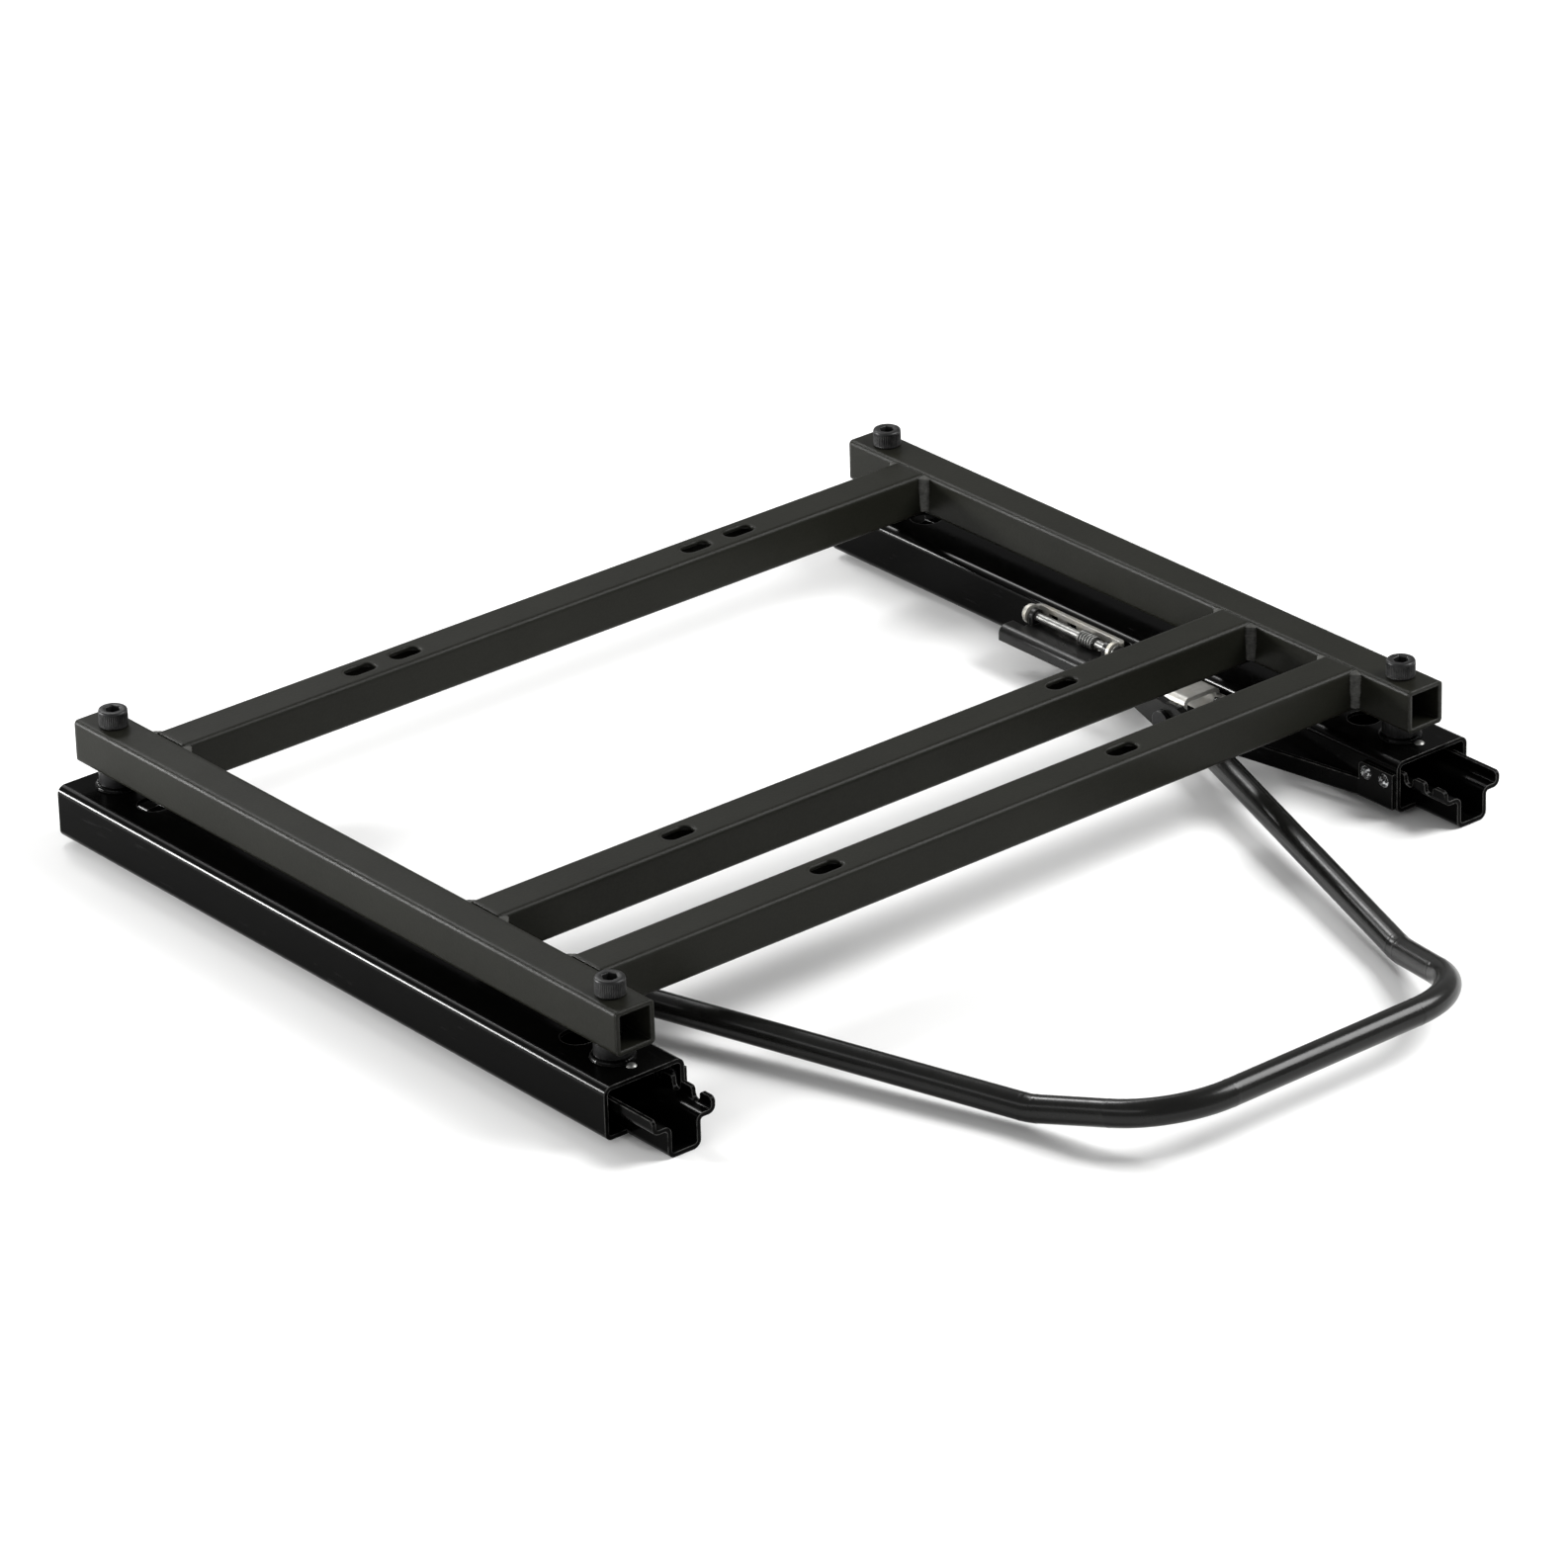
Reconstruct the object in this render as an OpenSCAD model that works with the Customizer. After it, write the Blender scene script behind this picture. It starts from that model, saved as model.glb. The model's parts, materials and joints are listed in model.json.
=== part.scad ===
// Adjustable seat slide: a welded seat frame on two ball and roller rails, with a
// bar-operated lock on each rail. The front, where the bar is, faces -Y.
// The origin lies on the floor, midway between the four floor bolts.

/* [Rail set] */
// Distance between the centre lines of the two rails
rail_pitch = 442; // [400:1:480]
// Length of every rail, lower and upper
rail_len = 380; // [370:1:420]
// Sheet thickness of the rails
sheet = 2; // [1.8:0.1:2.2]
// Inside radius of the rails' folds
fold_r = 1.5; // [1:0.1:1.8]
// How far the upper rails stand behind the lower ones
setback = 25; // [12.5:12.5:37.5]

/* [Lower rail] */
// Outside width of the lower channel
channel_w = 17.2; // [16:0.1:18]
// Height of the underside of the flanges
flange_z = 13; // [12.6:0.1:13.4]
// Reach of a flange from the channel wall to the outside of its lip
flange_reach = 7.9; // [7.4:0.1:8.4]
// Height of the flange lips
lip_z = 20; // [19.6:0.1:20.2]
// Pitch of the lock notches
notch_pitch = 12.5; // [12:0.1:13]
// Width of a lock notch
notch_w = 5; // [4.6:0.1:6]
// Rounding of the tops of the pegs between the notches
peg_r = 2; // [1.5:0.1:2.2]
// Diameter of the floor bolt holes
floor_hole_d = 8.5; // [8:0.1:10]
// Distance of a floor bolt hole from the end of its rail
floor_hole_inset = 43; // [40:0.5:48]

/* [Upper rail] */
// Outside width of the upper rail
upper_w = 42; // [41:0.1:44]
// Height of the upper rail
upper_h = 24.5; // [24.3:0.1:25.5]
// Height of the upper rail's lower edge above the floor
ride_z = 2.5; // [2.3:0.1:2.7]
// Inside radius of the upper rail's top edges
crown_r = 2; // [1.5:0.1:2.5]
// Gap between the upper rail's bottom lips and the lower channel
lip_gap = 1; // [0.6:0.1:1.4]
// Diameter of the holes that let a tool reach the floor bolts
access_d = 15; // [13:0.5:16]

/* [Rolling set] */
// Working gap round the rollers and balls
roll_gap = 0.3; // [0.2:0.05:0.4]
// Place of the front roller along the lower rail
roller_front_y = -35; // [-38:1:-20]
// Place of the rear roller along the lower rail
roller_rear_y = 100; // [80:1:104]
// Distance between the two balls of a pair
ball_pitch = 35; // [20:1:40]

/* [Seat frame] */
// Outside width of the square tubes
tube_w = 20; // [18:0.5:24]
// Wall of the square tubes
tube_wall = 2; // [1.5:0.1:2.5]
// Outside corner radius of the square tubes
tube_r = 2; // [1:0.1:3]
// How much shorter the side tubes are than the rails
side_short = 5; // [2:0.5:10]
// How far the seat frame's middle lies behind the upper rails' middle
side_shift = 2; // [0:0.5:3]
// Distance of a frame screw from the end of its side tube
screw_inset = 15.5; // [14:0.5:17]
// Inset of the front and rear cross tubes from the ends of the side tubes
cross_inset = 43.5; // [42:0.5:60]
// Distance between the front and the middle cross tube
cross_gap = 67; // [50:1:80]
// Length of a seat bolt slot
slot_len = 16; // [12:0.5:20]
// Width of a seat bolt slot
slot_w = 8.5; // [7:0.1:10]
// Distance between the inner pair of slots
slot_narrow = 166; // [150:1:175]
// Distance between the two slots at one end of a cross tube
slot_step = 25; // [22:0.5:35]
// Leg of a weld bead
weld_leg = 2.5; // [1.5:0.1:3.5]

/* [Frame screws] */
// Thread diameter of the frame screws
screw_d = 8; // [6:1:8]
// Diameter of a screw head
head_d = 13; // [12:0.5:14]
// Height of a screw head
head_h = 8; // [6:0.5:9]
// Width across the flats of the screw socket
socket_w = 6; // [5:1:8]
// Depth of the screw socket
socket_deep = 4; // [3:0.5:5]
// Diameter of the threaded bosses between tube and rail
boss_d = 16; // [14:0.5:17]
// Height of the threaded bosses
boss_h = 8.5; // [8:0.5:12]
// Shank diameter of the rivets
rivet_d = 4; // [3:0.5:4]

/* [Lock] */
// How far the middle tooth lies behind the upper rail's middle
lock_offset = 20; // [18:0.5:22]
// Number of teeth on a pawl
teeth = 3; // [2:1:3]
// Width of a tooth at its root
tooth_w = 4; // [3:0.1:4.2]
// Depth to which a tooth reaches past the face of the lip
tooth_deep = 2.7; // [2.2:0.1:2.8]
// Sheet thickness of the pawl
pawl_t = 2.5; // [2:0.1:2.5]
// Sheet thickness of the zinc-plated lock plates
plate_t = 2; // [1.5:0.1:2]
// Diameter of the pawl pin
pin_d = 4; // [3.6:0.1:4]
// Distance of the pawl pin from the rail wall
pin_out = 7; // [6.8:0.1:7.5]
// Height of the pawl pin above the pawl's sheet
pin_up = 3.7; // [3.6:0.1:3.9]
// Width of the pawl inward from its pin
pawl_reach = 14.5; // [12:0.5:16]
// Depth of the pawl's folded edge
pawl_edge = 7; // [6:0.5:8]
// Room along the pin for the spring
spring_room = 15; // [14:0.5:18]
// Wire diameter of the spring
wire_d = 1.2; // [1:0.1:1.2]
// Number of turns of the spring
spring_turns = 6; // [4:1:7]

/* [Release handle] */
// Diameter of the handle bar
bar_d = 12; // [10:0.5:12]
// Thickness of the bar's flattened ends
flat_t = 4; // [3:0.5:4]
// Distance of the handle pivot from the rail wall
pivot_out = 24; // [23:0.5:25]
// Distance of the handle pivot in front of the upper rail's middle
pivot_front = 68; // [66:0.5:70]
// Height of the handle pivot
pivot_z = 13.5; // [13:0.5:14.5]
// Diameter of the handle pivot pin
pivot_d = 6; // [5:0.5:6.5]
// Height of the strap that braces the handle pivot
strap_h = 8.2; // [7:0.1:9]
// Length of the strap's foot on the rail wall
strap_foot = 22; // [20:0.5:26]
// Length of the handle's fingers behind the pivot
finger_len = 53; // [50:0.5:55]
// Angle in plan at which the arms close in towards the front
arm_angle = 19; // [16:0.5:20]
// Distance from the pivot to the upward kink in the arms
kink_len = 225; // [200:1:235]
// Height of the bar's middle at the kink
kink_z = 8.5; // [8:0.5:12]
// Distance from the pivot to the front grip
grip_len = 288; // [282:1:320]
// Height of the front grip
grip_z = 21.5; // [15:0.5:26]
// Bend radius of the grip's corners
grip_r = 42; // [30:1:44]

/* [Clearances] */
// Radial gap of a fixed pin, screw or rivet in its hole
seat_gap = 0.05; // [0.02:0.01:0.1]
// Radial gap of a pin that something turns on
turn_gap = 0.05; // [0.02:0.01:0.1]
// Side gap of the pawl and the handle on their pins
side_gap = 0.5; // [0.3:0.1:0.6]
// Gap between the handle's finger and the pawl at rest
finger_gap = 0.4; // [0.3:0.05:0.5]
// Extra diameter of a screw hole over its screw
hole_room = 1; // [0.5:0.1:1.5]

/* [Hidden] */
$fn = 48;
cut = 1;                // overshoot of a cutting shape past the face it opens
left = -1;
right = 1;

// Rail section: half widths and heights
channel_half = channel_w / 2;
lip_out = channel_half + flange_reach;
upper_half = upper_w / 2;
upper_in = upper_half - sheet;
upper_top = ride_z + upper_h;
roof_z = upper_top - sheet;
upper_y = setback;
floor_hole_pitch = rail_len - 2 * floor_hole_inset;
notch_rise = 0.1;
notch_z = flange_z + sheet + notch_rise;

// Rolling set
roller_d = roof_z - sheet - 2 * roll_gap;
roller_w = channel_w - 2 * sheet - 2 * roll_gap;
roller_z = (roof_z + sheet) / 2;
ball_d = flange_z - ride_z - sheet - 2 * roll_gap;
ball_z = (flange_z + ride_z + sheet) / 2;
ball_x = (channel_half + upper_in) / 2;

// Seat frame
side_len = rail_len - side_short;
screw_pitch = side_len - 2 * screw_inset;
slot_wide = slot_narrow + 2 * slot_step;
tube_z = upper_top + boss_h;
tube_top = tube_z + tube_w;
frame_y = upper_y + side_shift;
rear_cross_y = frame_y + side_len / 2 - cross_inset;
front_cross_y = frame_y - side_len / 2 + cross_inset;
middle_cross_y = front_cross_y + cross_gap;
screw_ys = [frame_y - screw_pitch / 2, frame_y + screw_pitch / 2];
side_inner = rail_pitch / 2 - tube_w / 2;
stop_y = screw_ys[0] - boss_d / 2 - rivet_d;
rivet_head_d = rivet_d * 1.6;
rivet_head_h = rivet_d * 0.4;
stop_d = rivet_d - 1;

// Lock, measured from the rail's centre line inward
tooth_y = upper_y + lock_offset;
tooth_lift = 1.2;
tooth_z = notch_z + tooth_lift;
tooth_tip = lip_out - tooth_deep;
tooth_ys = [for (i = [0 : teeth - 1]) tooth_y + (i - (teeth - 1) / 2) * notch_pitch];
tooth_span = (teeth - 1) * notch_pitch + tooth_w;
pawl_top = tooth_z + pawl_t;
pin_x = upper_half + pin_out;
pin_z = pawl_top + pin_up;
pawl_in = pin_x + pawl_reach;
pawl_root = 2;
root = pin_x - pawl_root;
tooth_margin = 3;
pawl_rear = tooth_y + tooth_span / 2 + tooth_margin + pawl_t;
pawl_front = tooth_y - tooth_span / 2 - spring_room - pawl_t;
plate_rear = pawl_rear + 2 * side_gap + plate_t;
plate_front = pawl_front - 2 * side_gap - plate_t;
plate_rise = 3;
plate_drop = 7.5;
plate_top = pin_z + plate_rise;
plate_low = tooth_z - plate_drop;
ear_wall = 2.5;
pawl_ear_wall = 1.5;
wing_gap = 1.3;
ear_r = pin_d / 2 + ear_wall;
pawl_ear_r = pin_d / 2 + pawl_ear_wall;
wing_in = pin_x + ear_r + wing_gap;
wing_over = 8;
tongue_len = 15;
tongue_front = pawl_front - tongue_len;
tongue_end = pawl_front + 1;
window_side = 1;
window_drop = 0.7;
window_rise = 6.7;
window_w = tooth_w + 2 * window_side;
window_low = tooth_z - window_drop;
window_high = tooth_z + window_rise;
coil_gap = 0.35;
turn_room = 0.5;
leg_gap = 0.15;
coil_r = pin_d / 2 + coil_gap + wire_d / 2;
coil_pitch = wire_d + turn_room;
coil_turns = spring_turns - 0.25;
coil_y = tooth_ys[0] - coil_pitch * coil_turns;
leg_slot = wire_d + 2 * side_gap;
leg_deep = 0.6 * pawl_root;

// Handle, with its arms mirrored about the middle
pivot_y = upper_y - pivot_front;
flat_x = rail_pitch / 2 - upper_half - pivot_out;
ear_x = upper_half + pivot_out - flat_t / 2 - side_gap;
flat_h = bar_d * 1.4;
arm_start = 15;
bar_sink = 2;
press_in = 0.3;
arm_bend_r = 25;
kink_r = 30;
finger_z = pawl_top + finger_gap;
bracket_w = 17;
bracket_top = 25;
bracket_foot_w = 26;
bracket_foot_low = pivot_z - 4;
strap_low = ride_z + sheet;
strap_inset = 1;
strap_front = upper_y - rail_len / 2 + strap_inset;
strap_bend = strap_front + strap_foot;
strap_eye_r = pivot_d / 2 + 3.5;
pin_tail_d = pivot_d + 3;
strap_eye_front = pivot_y - pin_tail_d / 2 - side_gap;

function arm_x(back) = flat_x - (back - arm_start) * tan(arm_angle);
half_route = [
    [flat_x, pivot_y - flat_h / 2 + bar_sink, pivot_z],
    [flat_x, pivot_y - arm_start, pivot_z],
    [arm_x(kink_len), pivot_y - kink_len, kink_z],
    [arm_x(grip_len), pivot_y - grip_len, grip_z]
];
half_radii = [0, arm_bend_r, kink_r, grip_r];
handle_route = concat(
    half_route,
    [for (i = [len(half_route) - 1 : -1 : 0]) [-half_route[i][0], half_route[i][1], half_route[i][2]]]
);
handle_radii = concat(half_radii, [for (i = [len(half_radii) - 1 : -1 : 0]) half_radii[i]]);

// Places a shape on one rail, with +X pointing from the rail to the middle of the seat
module on_rail(side) {
    translate([side * rail_pitch / 2, 0, 0])
        mirror([side == right ? 1 : 0, 0, 0])
            children();
}

// Extrudes an outline drawn in X and Z along Y, from y0 to y1
module along_y(y0, y1) {
    translate([0, y1, 0]) rotate([90, 0, 0]) linear_extrude(y1 - y0) children();
}

// Extrudes an outline drawn in Y and Z along X, from x0 to x1
module along_x(x0, x1) {
    translate([x0, 0, 0]) rotate([90, 0, 90]) linear_extrude(x1 - x0) children();
}

// Box between two corners
module block(low, high) {
    translate(low) cube(high - low);
}

// Flat stretch of folded sheet in a section
module flat(low, high) {
    translate(low) square(high - low);
}

// Quarter fold of sheet in a section, open towards the centre of the fold
module fold(centre, r, t, quarter) {
    translate(centre) intersection() {
        difference() {
            circle(r + t);
            circle(r);
        }
        translate([min(0, quarter[0]) * (r + t), min(0, quarter[1]) * (r + t)])
            square(r + t);
    }
}

// Square with rounded corners, centred
module round_square(w, r) {
    square([w - 2 * r, w], center = true);
    square([w, w - 2 * r], center = true);
    for (x = [-1, 1], y = [-1, 1])
        translate([x, y] * (w / 2 - r)) circle(r);
}

// Section of a square tube
module tube_section() {
    difference() {
        round_square(tube_w, tube_r);
        square(tube_w - 2 * tube_wall, center = true);
    }
}

// Slot along X with round ends, through everything along Z
module slot(len, w, h) {
    linear_extrude(h, center = true) {
        square([len - w, w], center = true);
        for (x = [-1, 1]) translate([x * (len - w) / 2, 0]) circle(d = w);
    }
}

// Domed rivet standing on z = 0, its shank going down through a stack of sheet
module rivet(d, stack, tail) {
    head_r = d * 0.8;
    head_h = d * 0.4;
    ball_r = (head_r * head_r + head_h * head_h) / (2 * head_h);
    rotate_extrude() intersection() {
        translate([0, head_h - ball_r]) circle(ball_r);
        square([head_r, head_h]);
    }
    translate([0, 0, -stack - tail]) cylinder(d = d - 2 * seat_gap, h = stack + tail);
    translate([0, 0, -stack - tail]) cylinder(r = head_r, h = tail);
}

// Half section of the lower rail, from its middle to the lip
module lower_half() {
    fold_x = channel_half - sheet - fold_r;
    wall_top = flange_z - fold_r;
    lip_x = lip_out - sheet - fold_r;
    lip_fold_z = flange_z + sheet + fold_r;
    flat([0, 0], [fold_x, sheet]);
    fold([fold_x, sheet + fold_r], fold_r, sheet, [1, -1]);
    flat([channel_half - sheet, sheet + fold_r], [channel_half, wall_top]);
    fold([channel_half + fold_r, wall_top], fold_r, sheet, [-1, 1]);
    flat([channel_half + fold_r, flange_z], [lip_x, flange_z + sheet]);
    fold([lip_x, lip_fold_z], fold_r, sheet, [1, -1]);
    flat([lip_out - sheet, lip_fold_z], [lip_out, lip_z]);
}

// Corner of a cut in Y and Z that leaves a rounded peg corner of radius r beside y = 0
peg_rise = 0.2;
lip_r = peg_r * 1.5;
module peg_corner(r) {
    difference() {
        translate([0, lip_z + peg_rise - r]) square([r, r + cut]);
        translate([r, lip_z + peg_rise - r]) circle(r);
    }
}

// Outline in Y and Z of one notch: round at the bottom, flared between rounded pegs
module notch_outline() {
    translate([0, notch_z + notch_w / 2]) circle(d = notch_w);
    flat([-notch_w / 2, notch_z + notch_w / 2], [notch_w / 2, lip_z + cut]);
    for (m = [0, 1]) mirror([m, 0]) translate([notch_w / 2, 0]) peg_corner(peg_r);
}

// Corner in Y and Z cut off both lips at the ends of the rail
module lip_corner() {
    difference() {
        translate([-cut, lip_z + peg_rise - lip_r]) square([lip_r + cut, lip_r + cut]);
        translate([lip_r, lip_z + peg_rise - lip_r]) circle(lip_r);
    }
}

// Lower rail: a channel with outward flanges, the inner one notched for the lock
module lower_rail(side) {
    first = ceil((-rail_len / 2 + notch_w - tooth_y) / notch_pitch);
    last = floor((rail_len / 2 - notch_w - tooth_y) / notch_pitch);
    on_rail(side) difference() {
        along_y(-rail_len / 2, rail_len / 2) {
            lower_half();
            mirror([1, 0]) lower_half();
        }
        for (i = [first : last])
            translate([0, tooth_y + i * notch_pitch, 0])
                along_x(lip_out - flange_reach / 2, lip_out + cut) notch_outline();
        for (m = [0, 1]) mirror([0, m, 0])
            along_x(-lip_out - cut, lip_out + cut)
                translate([-rail_len / 2 - peg_rise, 0]) lip_corner();
        for (y = [-1, 1])
            translate([0, y * floor_hole_pitch / 2, -cut])
                cylinder(d = floor_hole_d, h = sheet + 2 * cut);
    }
}

// Half section of the upper rail, from its middle to the bottom lip
module upper_half_section() {
    crown_x = upper_in - crown_r;
    crown_z = roof_z - crown_r;
    fold_x = upper_in - fold_r;
    fold_z = ride_z + sheet + fold_r;
    flat([0, roof_z], [crown_x, upper_top]);
    fold([crown_x, crown_z], crown_r, sheet, [1, 1]);
    flat([upper_in, fold_z], [upper_half, crown_z]);
    fold([fold_x, fold_z], fold_r, sheet, [1, -1]);
    flat([channel_half + lip_gap, ride_z], [fold_x, ride_z + sheet]);
}

// Holes that the lock plate shares with the rail wall behind it
module lock_windows() {
    for (y = tooth_ys)
        block([upper_in - cut, y - window_w / 2, window_low],
              [upper_half + plate_t + cut, y + window_w / 2, window_high]);
}

// Rivet places on the rail's inner wall, as [y, z]
rivet_rim = 0.6;
rivet_end = 1;
bracket_rim = 0.5;
bracket_rivet_up = 3.5;
plate_rivet_z = plate_low + rivet_head_d / 2 + rivet_rim;
plate_rivet_ys = [
    [plate_front + plate_t + rivet_head_d, plate_rivet_z],
    [plate_rear - plate_t - rivet_head_d / 2 - rivet_end, plate_rivet_z]
];
bracket_rivet_z = pivot_z + bracket_rivet_up;
bracket_rivet_ys = [
    for (y = [-1, 1])
        [pivot_y + y * (bracket_foot_w / 2 - rivet_head_d / 2 - bracket_rim), bracket_rivet_z]
];
strap_rivet_inset = rivet_head_d / 2 + 2.3;
strap_rivet_ys = [
    [strap_front + strap_rivet_inset, bracket_rivet_z],
    [strap_bend - strap_rivet_inset, bracket_rivet_z]
];
wall_rivets = concat(plate_rivet_ys, bracket_rivet_ys, strap_rivet_ys);

// Bores through the rail's inner wall and the plates on it
module rivet_bores() {
    for (p = wall_rivets)
        translate([upper_in - cut, p[0], p[1]]) rotate([0, 90, 0])
            cylinder(d = rivet_d, h = sheet + plate_t + 2 * cut);
}

// Upper rail: an inverted channel with bottom lips hooked under the lower flanges
module upper_rail(side) {
    on_rail(side) difference() {
        along_y(upper_y - rail_len / 2, upper_y + rail_len / 2) {
            upper_half_section();
            mirror([1, 0]) upper_half_section();
        }
        for (y = screw_ys)
            translate([0, y, roof_z - cut]) cylinder(d = screw_d + hole_room, h = sheet + 2 * cut);
        for (y = [-1, 1])
            translate([0, upper_y + y * floor_hole_pitch / 2, roof_z - cut])
                cylinder(d = access_d, h = sheet + 2 * cut);
        translate([0, stop_y, roof_z - cut]) cylinder(d = stop_d, h = sheet + 2 * cut);
        lock_windows();
        rivet_bores();
    }
}

// Two rollers that carry the roof of the upper rail
module rollers(side) {
    edge = 0.8;
    r = roller_d / 2;
    h = roller_w / 2;
    on_rail(side)
        for (y = [roller_front_y, roller_rear_y])
            translate([0, y, roller_z]) rotate([0, 90, 0]) rotate_extrude()
                polygon([[0, -h], [r - edge, -h], [r, edge - h], [r, h - edge], [r - edge, h], [0, h]]);
}

// Balls between the bottom lips of the upper rail and the flanges of the lower one
module balls(side) {
    on_rail(side)
        for (x = [-1, 1], y = [roller_front_y, roller_rear_y], k = [-0.5, 0.5])
            translate([x * ball_x, y + k * ball_pitch, ball_z]) sphere(d = ball_d);
}

// Side tube of the seat frame, with its screw holes
module side_tube(side) {
    on_rail(side) difference() {
        translate([0, 0, tube_z + tube_w / 2])
            along_y(frame_y - side_len / 2, frame_y + side_len / 2) tube_section();
        for (y = screw_ys)
            translate([0, y, tube_z - cut]) cylinder(d = screw_d + hole_room, h = tube_w + 2 * cut);
    }
}

// Cross tube between the side tubes, with a row of seat bolt slots
module cross_tube(y, slots) {
    difference() {
        translate([0, y, tube_z + tube_w / 2]) along_x(-side_inner, side_inner) tube_section();
        for (x = slots, s = [-1, 1])
            translate([s * x / 2, y, tube_z + tube_w / 2]) slot(slot_len, slot_w, tube_w + 2 * cut);
    }
}

// Upright fillet beads where the cross tubes meet the side tubes
module weld_bead_set() {
    for (y = [rear_cross_y, middle_cross_y, front_cross_y], s = [-1, 1], x = [-1, 1])
        translate([x * side_inner, y + s * tube_w / 2, tube_z + tube_r])
            intersection() {
                cylinder(r = weld_leg, h = tube_w - 2 * tube_r);
                translate([min(0, -x) * weld_leg, min(0, s) * weld_leg, 0])
                    cube([weld_leg, weld_leg, tube_w - 2 * tube_r]);
            }
}

// Socket head screw standing on z = 0, its shank going down
module socket_screw(len) {
    edge = 0.6;
    r = head_d / 2;
    difference() {
        union() {
            rotate_extrude()
                polygon([[0, 0], [r, 0], [r, head_h - edge], [r - edge, head_h], [0, head_h]]);
            translate([0, 0, -len]) cylinder(d = screw_d, h = len);
        }
        translate([0, 0, head_h - socket_deep])
            cylinder(d = socket_w / cos(30), h = socket_deep + cut, $fn = 6);
    }
}

// Puts a shape at each of the four frame screws
module at_screws() {
    for (side = [left, right], y = screw_ys)
        translate([side * rail_pitch / 2, y, 0]) children();
}

// Threaded boss welded to the roof of the upper rail
module boss() {
    difference() {
        cylinder(d = boss_d, h = boss_h);
        translate([0, 0, -cut]) cylinder(d = screw_d + 2 * seat_gap, h = boss_h + 2 * cut);
    }
}

// Zinc-plated lock plate: riveted to the rail wall, its two ears hold the pawl pin
module lock_plate(side) {
    plate_fold = 1;
    back = upper_half;
    front = upper_half + plate_t;
    ear_end = pin_x + ear_r;
    on_rail(side) difference() {
        intersection() {
            translate([0, 0, plate_low]) linear_extrude(plate_top + ear_r - plate_low) {
                flat([back, plate_front + plate_t + plate_fold],
                     [front, plate_rear - plate_t - plate_fold]);
                fold([front + plate_fold, plate_front + plate_t + plate_fold],
                     plate_fold, plate_t, [-1, -1]);
                fold([front + plate_fold, plate_rear - plate_t - plate_fold],
                     plate_fold, plate_t, [-1, 1]);
                flat([front + plate_fold, plate_front], [ear_end, plate_front + plate_t]);
                flat([front + plate_fold, plate_rear - plate_t], [ear_end, plate_rear]);
            }
            along_y(plate_front - cut, plate_rear + cut) {
                flat([back, plate_low], [front + plate_fold, plate_top]);
                flat([front, pin_z - ear_r], [pin_x, plate_top]);
                translate([pin_x, pin_z]) circle(ear_r);
            }
        }
        lock_windows();
        rivet_bores();
        translate([pin_x, plate_front - cut, pin_z]) rotate([-90, 0, 0])
            cylinder(d = pin_d + 2 * seat_gap, h = plate_rear - plate_front + 2 * cut);
    }
}

// Pawl pin, riveted over outside both ears
module lock_pin(side) {
    pin_head_d = pin_d + 3;
    pin_head_h = 1.4;
    len = plate_rear - plate_front;
    on_rail(side) translate([pin_x, plate_front, pin_z]) rotate([-90, 0, 0]) {
        cylinder(d = pin_d, h = len);
        translate([0, 0, -pin_head_h]) cylinder(d = pin_head_d, h = pin_head_h);
        translate([0, 0, len]) cylinder(d = pin_head_d, h = pin_head_h);
    }
}

// Section of the pawl's sheet from x0 to its folded inner edge
module pawl_section(x0) {
    fold_x = pawl_in - pawl_t - fold_r;
    flat([x0, tooth_z], [fold_x, pawl_top]);
    fold([fold_x, tooth_z - fold_r], fold_r, pawl_t, [1, 1]);
    flat([pawl_in - pawl_t, pawl_top - pawl_edge], [pawl_in, tooth_z - fold_r]);
}

// Outline of one tooth in plan, tapered to its tip
module tooth() {
    taper = 0.4;
    lead = 3;
    half = tooth_w / 2;
    linear_extrude(pawl_t)
        polygon([[pin_x, -half], [tooth_tip + lead, -half], [tooth_tip, taper - half],
                 [tooth_tip, half - taper], [tooth_tip + lead, half], [pin_x, half]]);
}

// Lock pawl: teeth through the rail wall on one side of its pin, and on the other
// the folded wing with the tongue that the handle's finger presses; a slot in its
// root edge lets it swing past the spring's leg
module lock_pawl(side) {
    on_rail(side) difference() {
        union() {
            along_y(pawl_front, pawl_rear) pawl_section(root);
            along_y(pawl_front, pawl_rear + wing_over) pawl_section(wing_in);
            block([wing_in, tongue_front, tooth_z],
                  [ear_x + flat_t + 2 * side_gap + 2, tongue_end, pawl_top]);
            for (y = tooth_ys) translate([0, y, tooth_z]) tooth();
            for (y = [pawl_front, pawl_rear - pawl_t])
                along_y(y, y + pawl_t) {
                    flat([root, tooth_z], [pin_x + pawl_ear_r, pin_z]);
                    translate([pin_x, pin_z]) circle(pawl_ear_r);
                }
        }
        translate([pin_x, pawl_front - cut, pin_z]) rotate([-90, 0, 0])
            cylinder(d = pin_d + 2 * turn_gap, h = pawl_rear - pawl_front + 2 * cut);
        block([root - cut, coil_y - leg_slot / 2, tooth_z - cut],
              [root + leg_deep, coil_y + leg_slot / 2, pawl_top + cut]);
    }
}

// Points round the spring wire's section at one station of the coil
sides = 8;
steps = 16;
function ring(centre, out, along) =
    [for (i = [0 : sides - 1])
        centre + wire_d / 2 * (cos(i * 360 / sides) * out + sin(i * 360 / sides) * along)];
function coil_out(a) = [cos(a), 0, sin(a)];
function coil_centre(a) =
    [pin_x + coil_r * cos(a), coil_y + coil_pitch * (180 - a) / 360, pin_z + coil_r * sin(a)];

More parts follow.
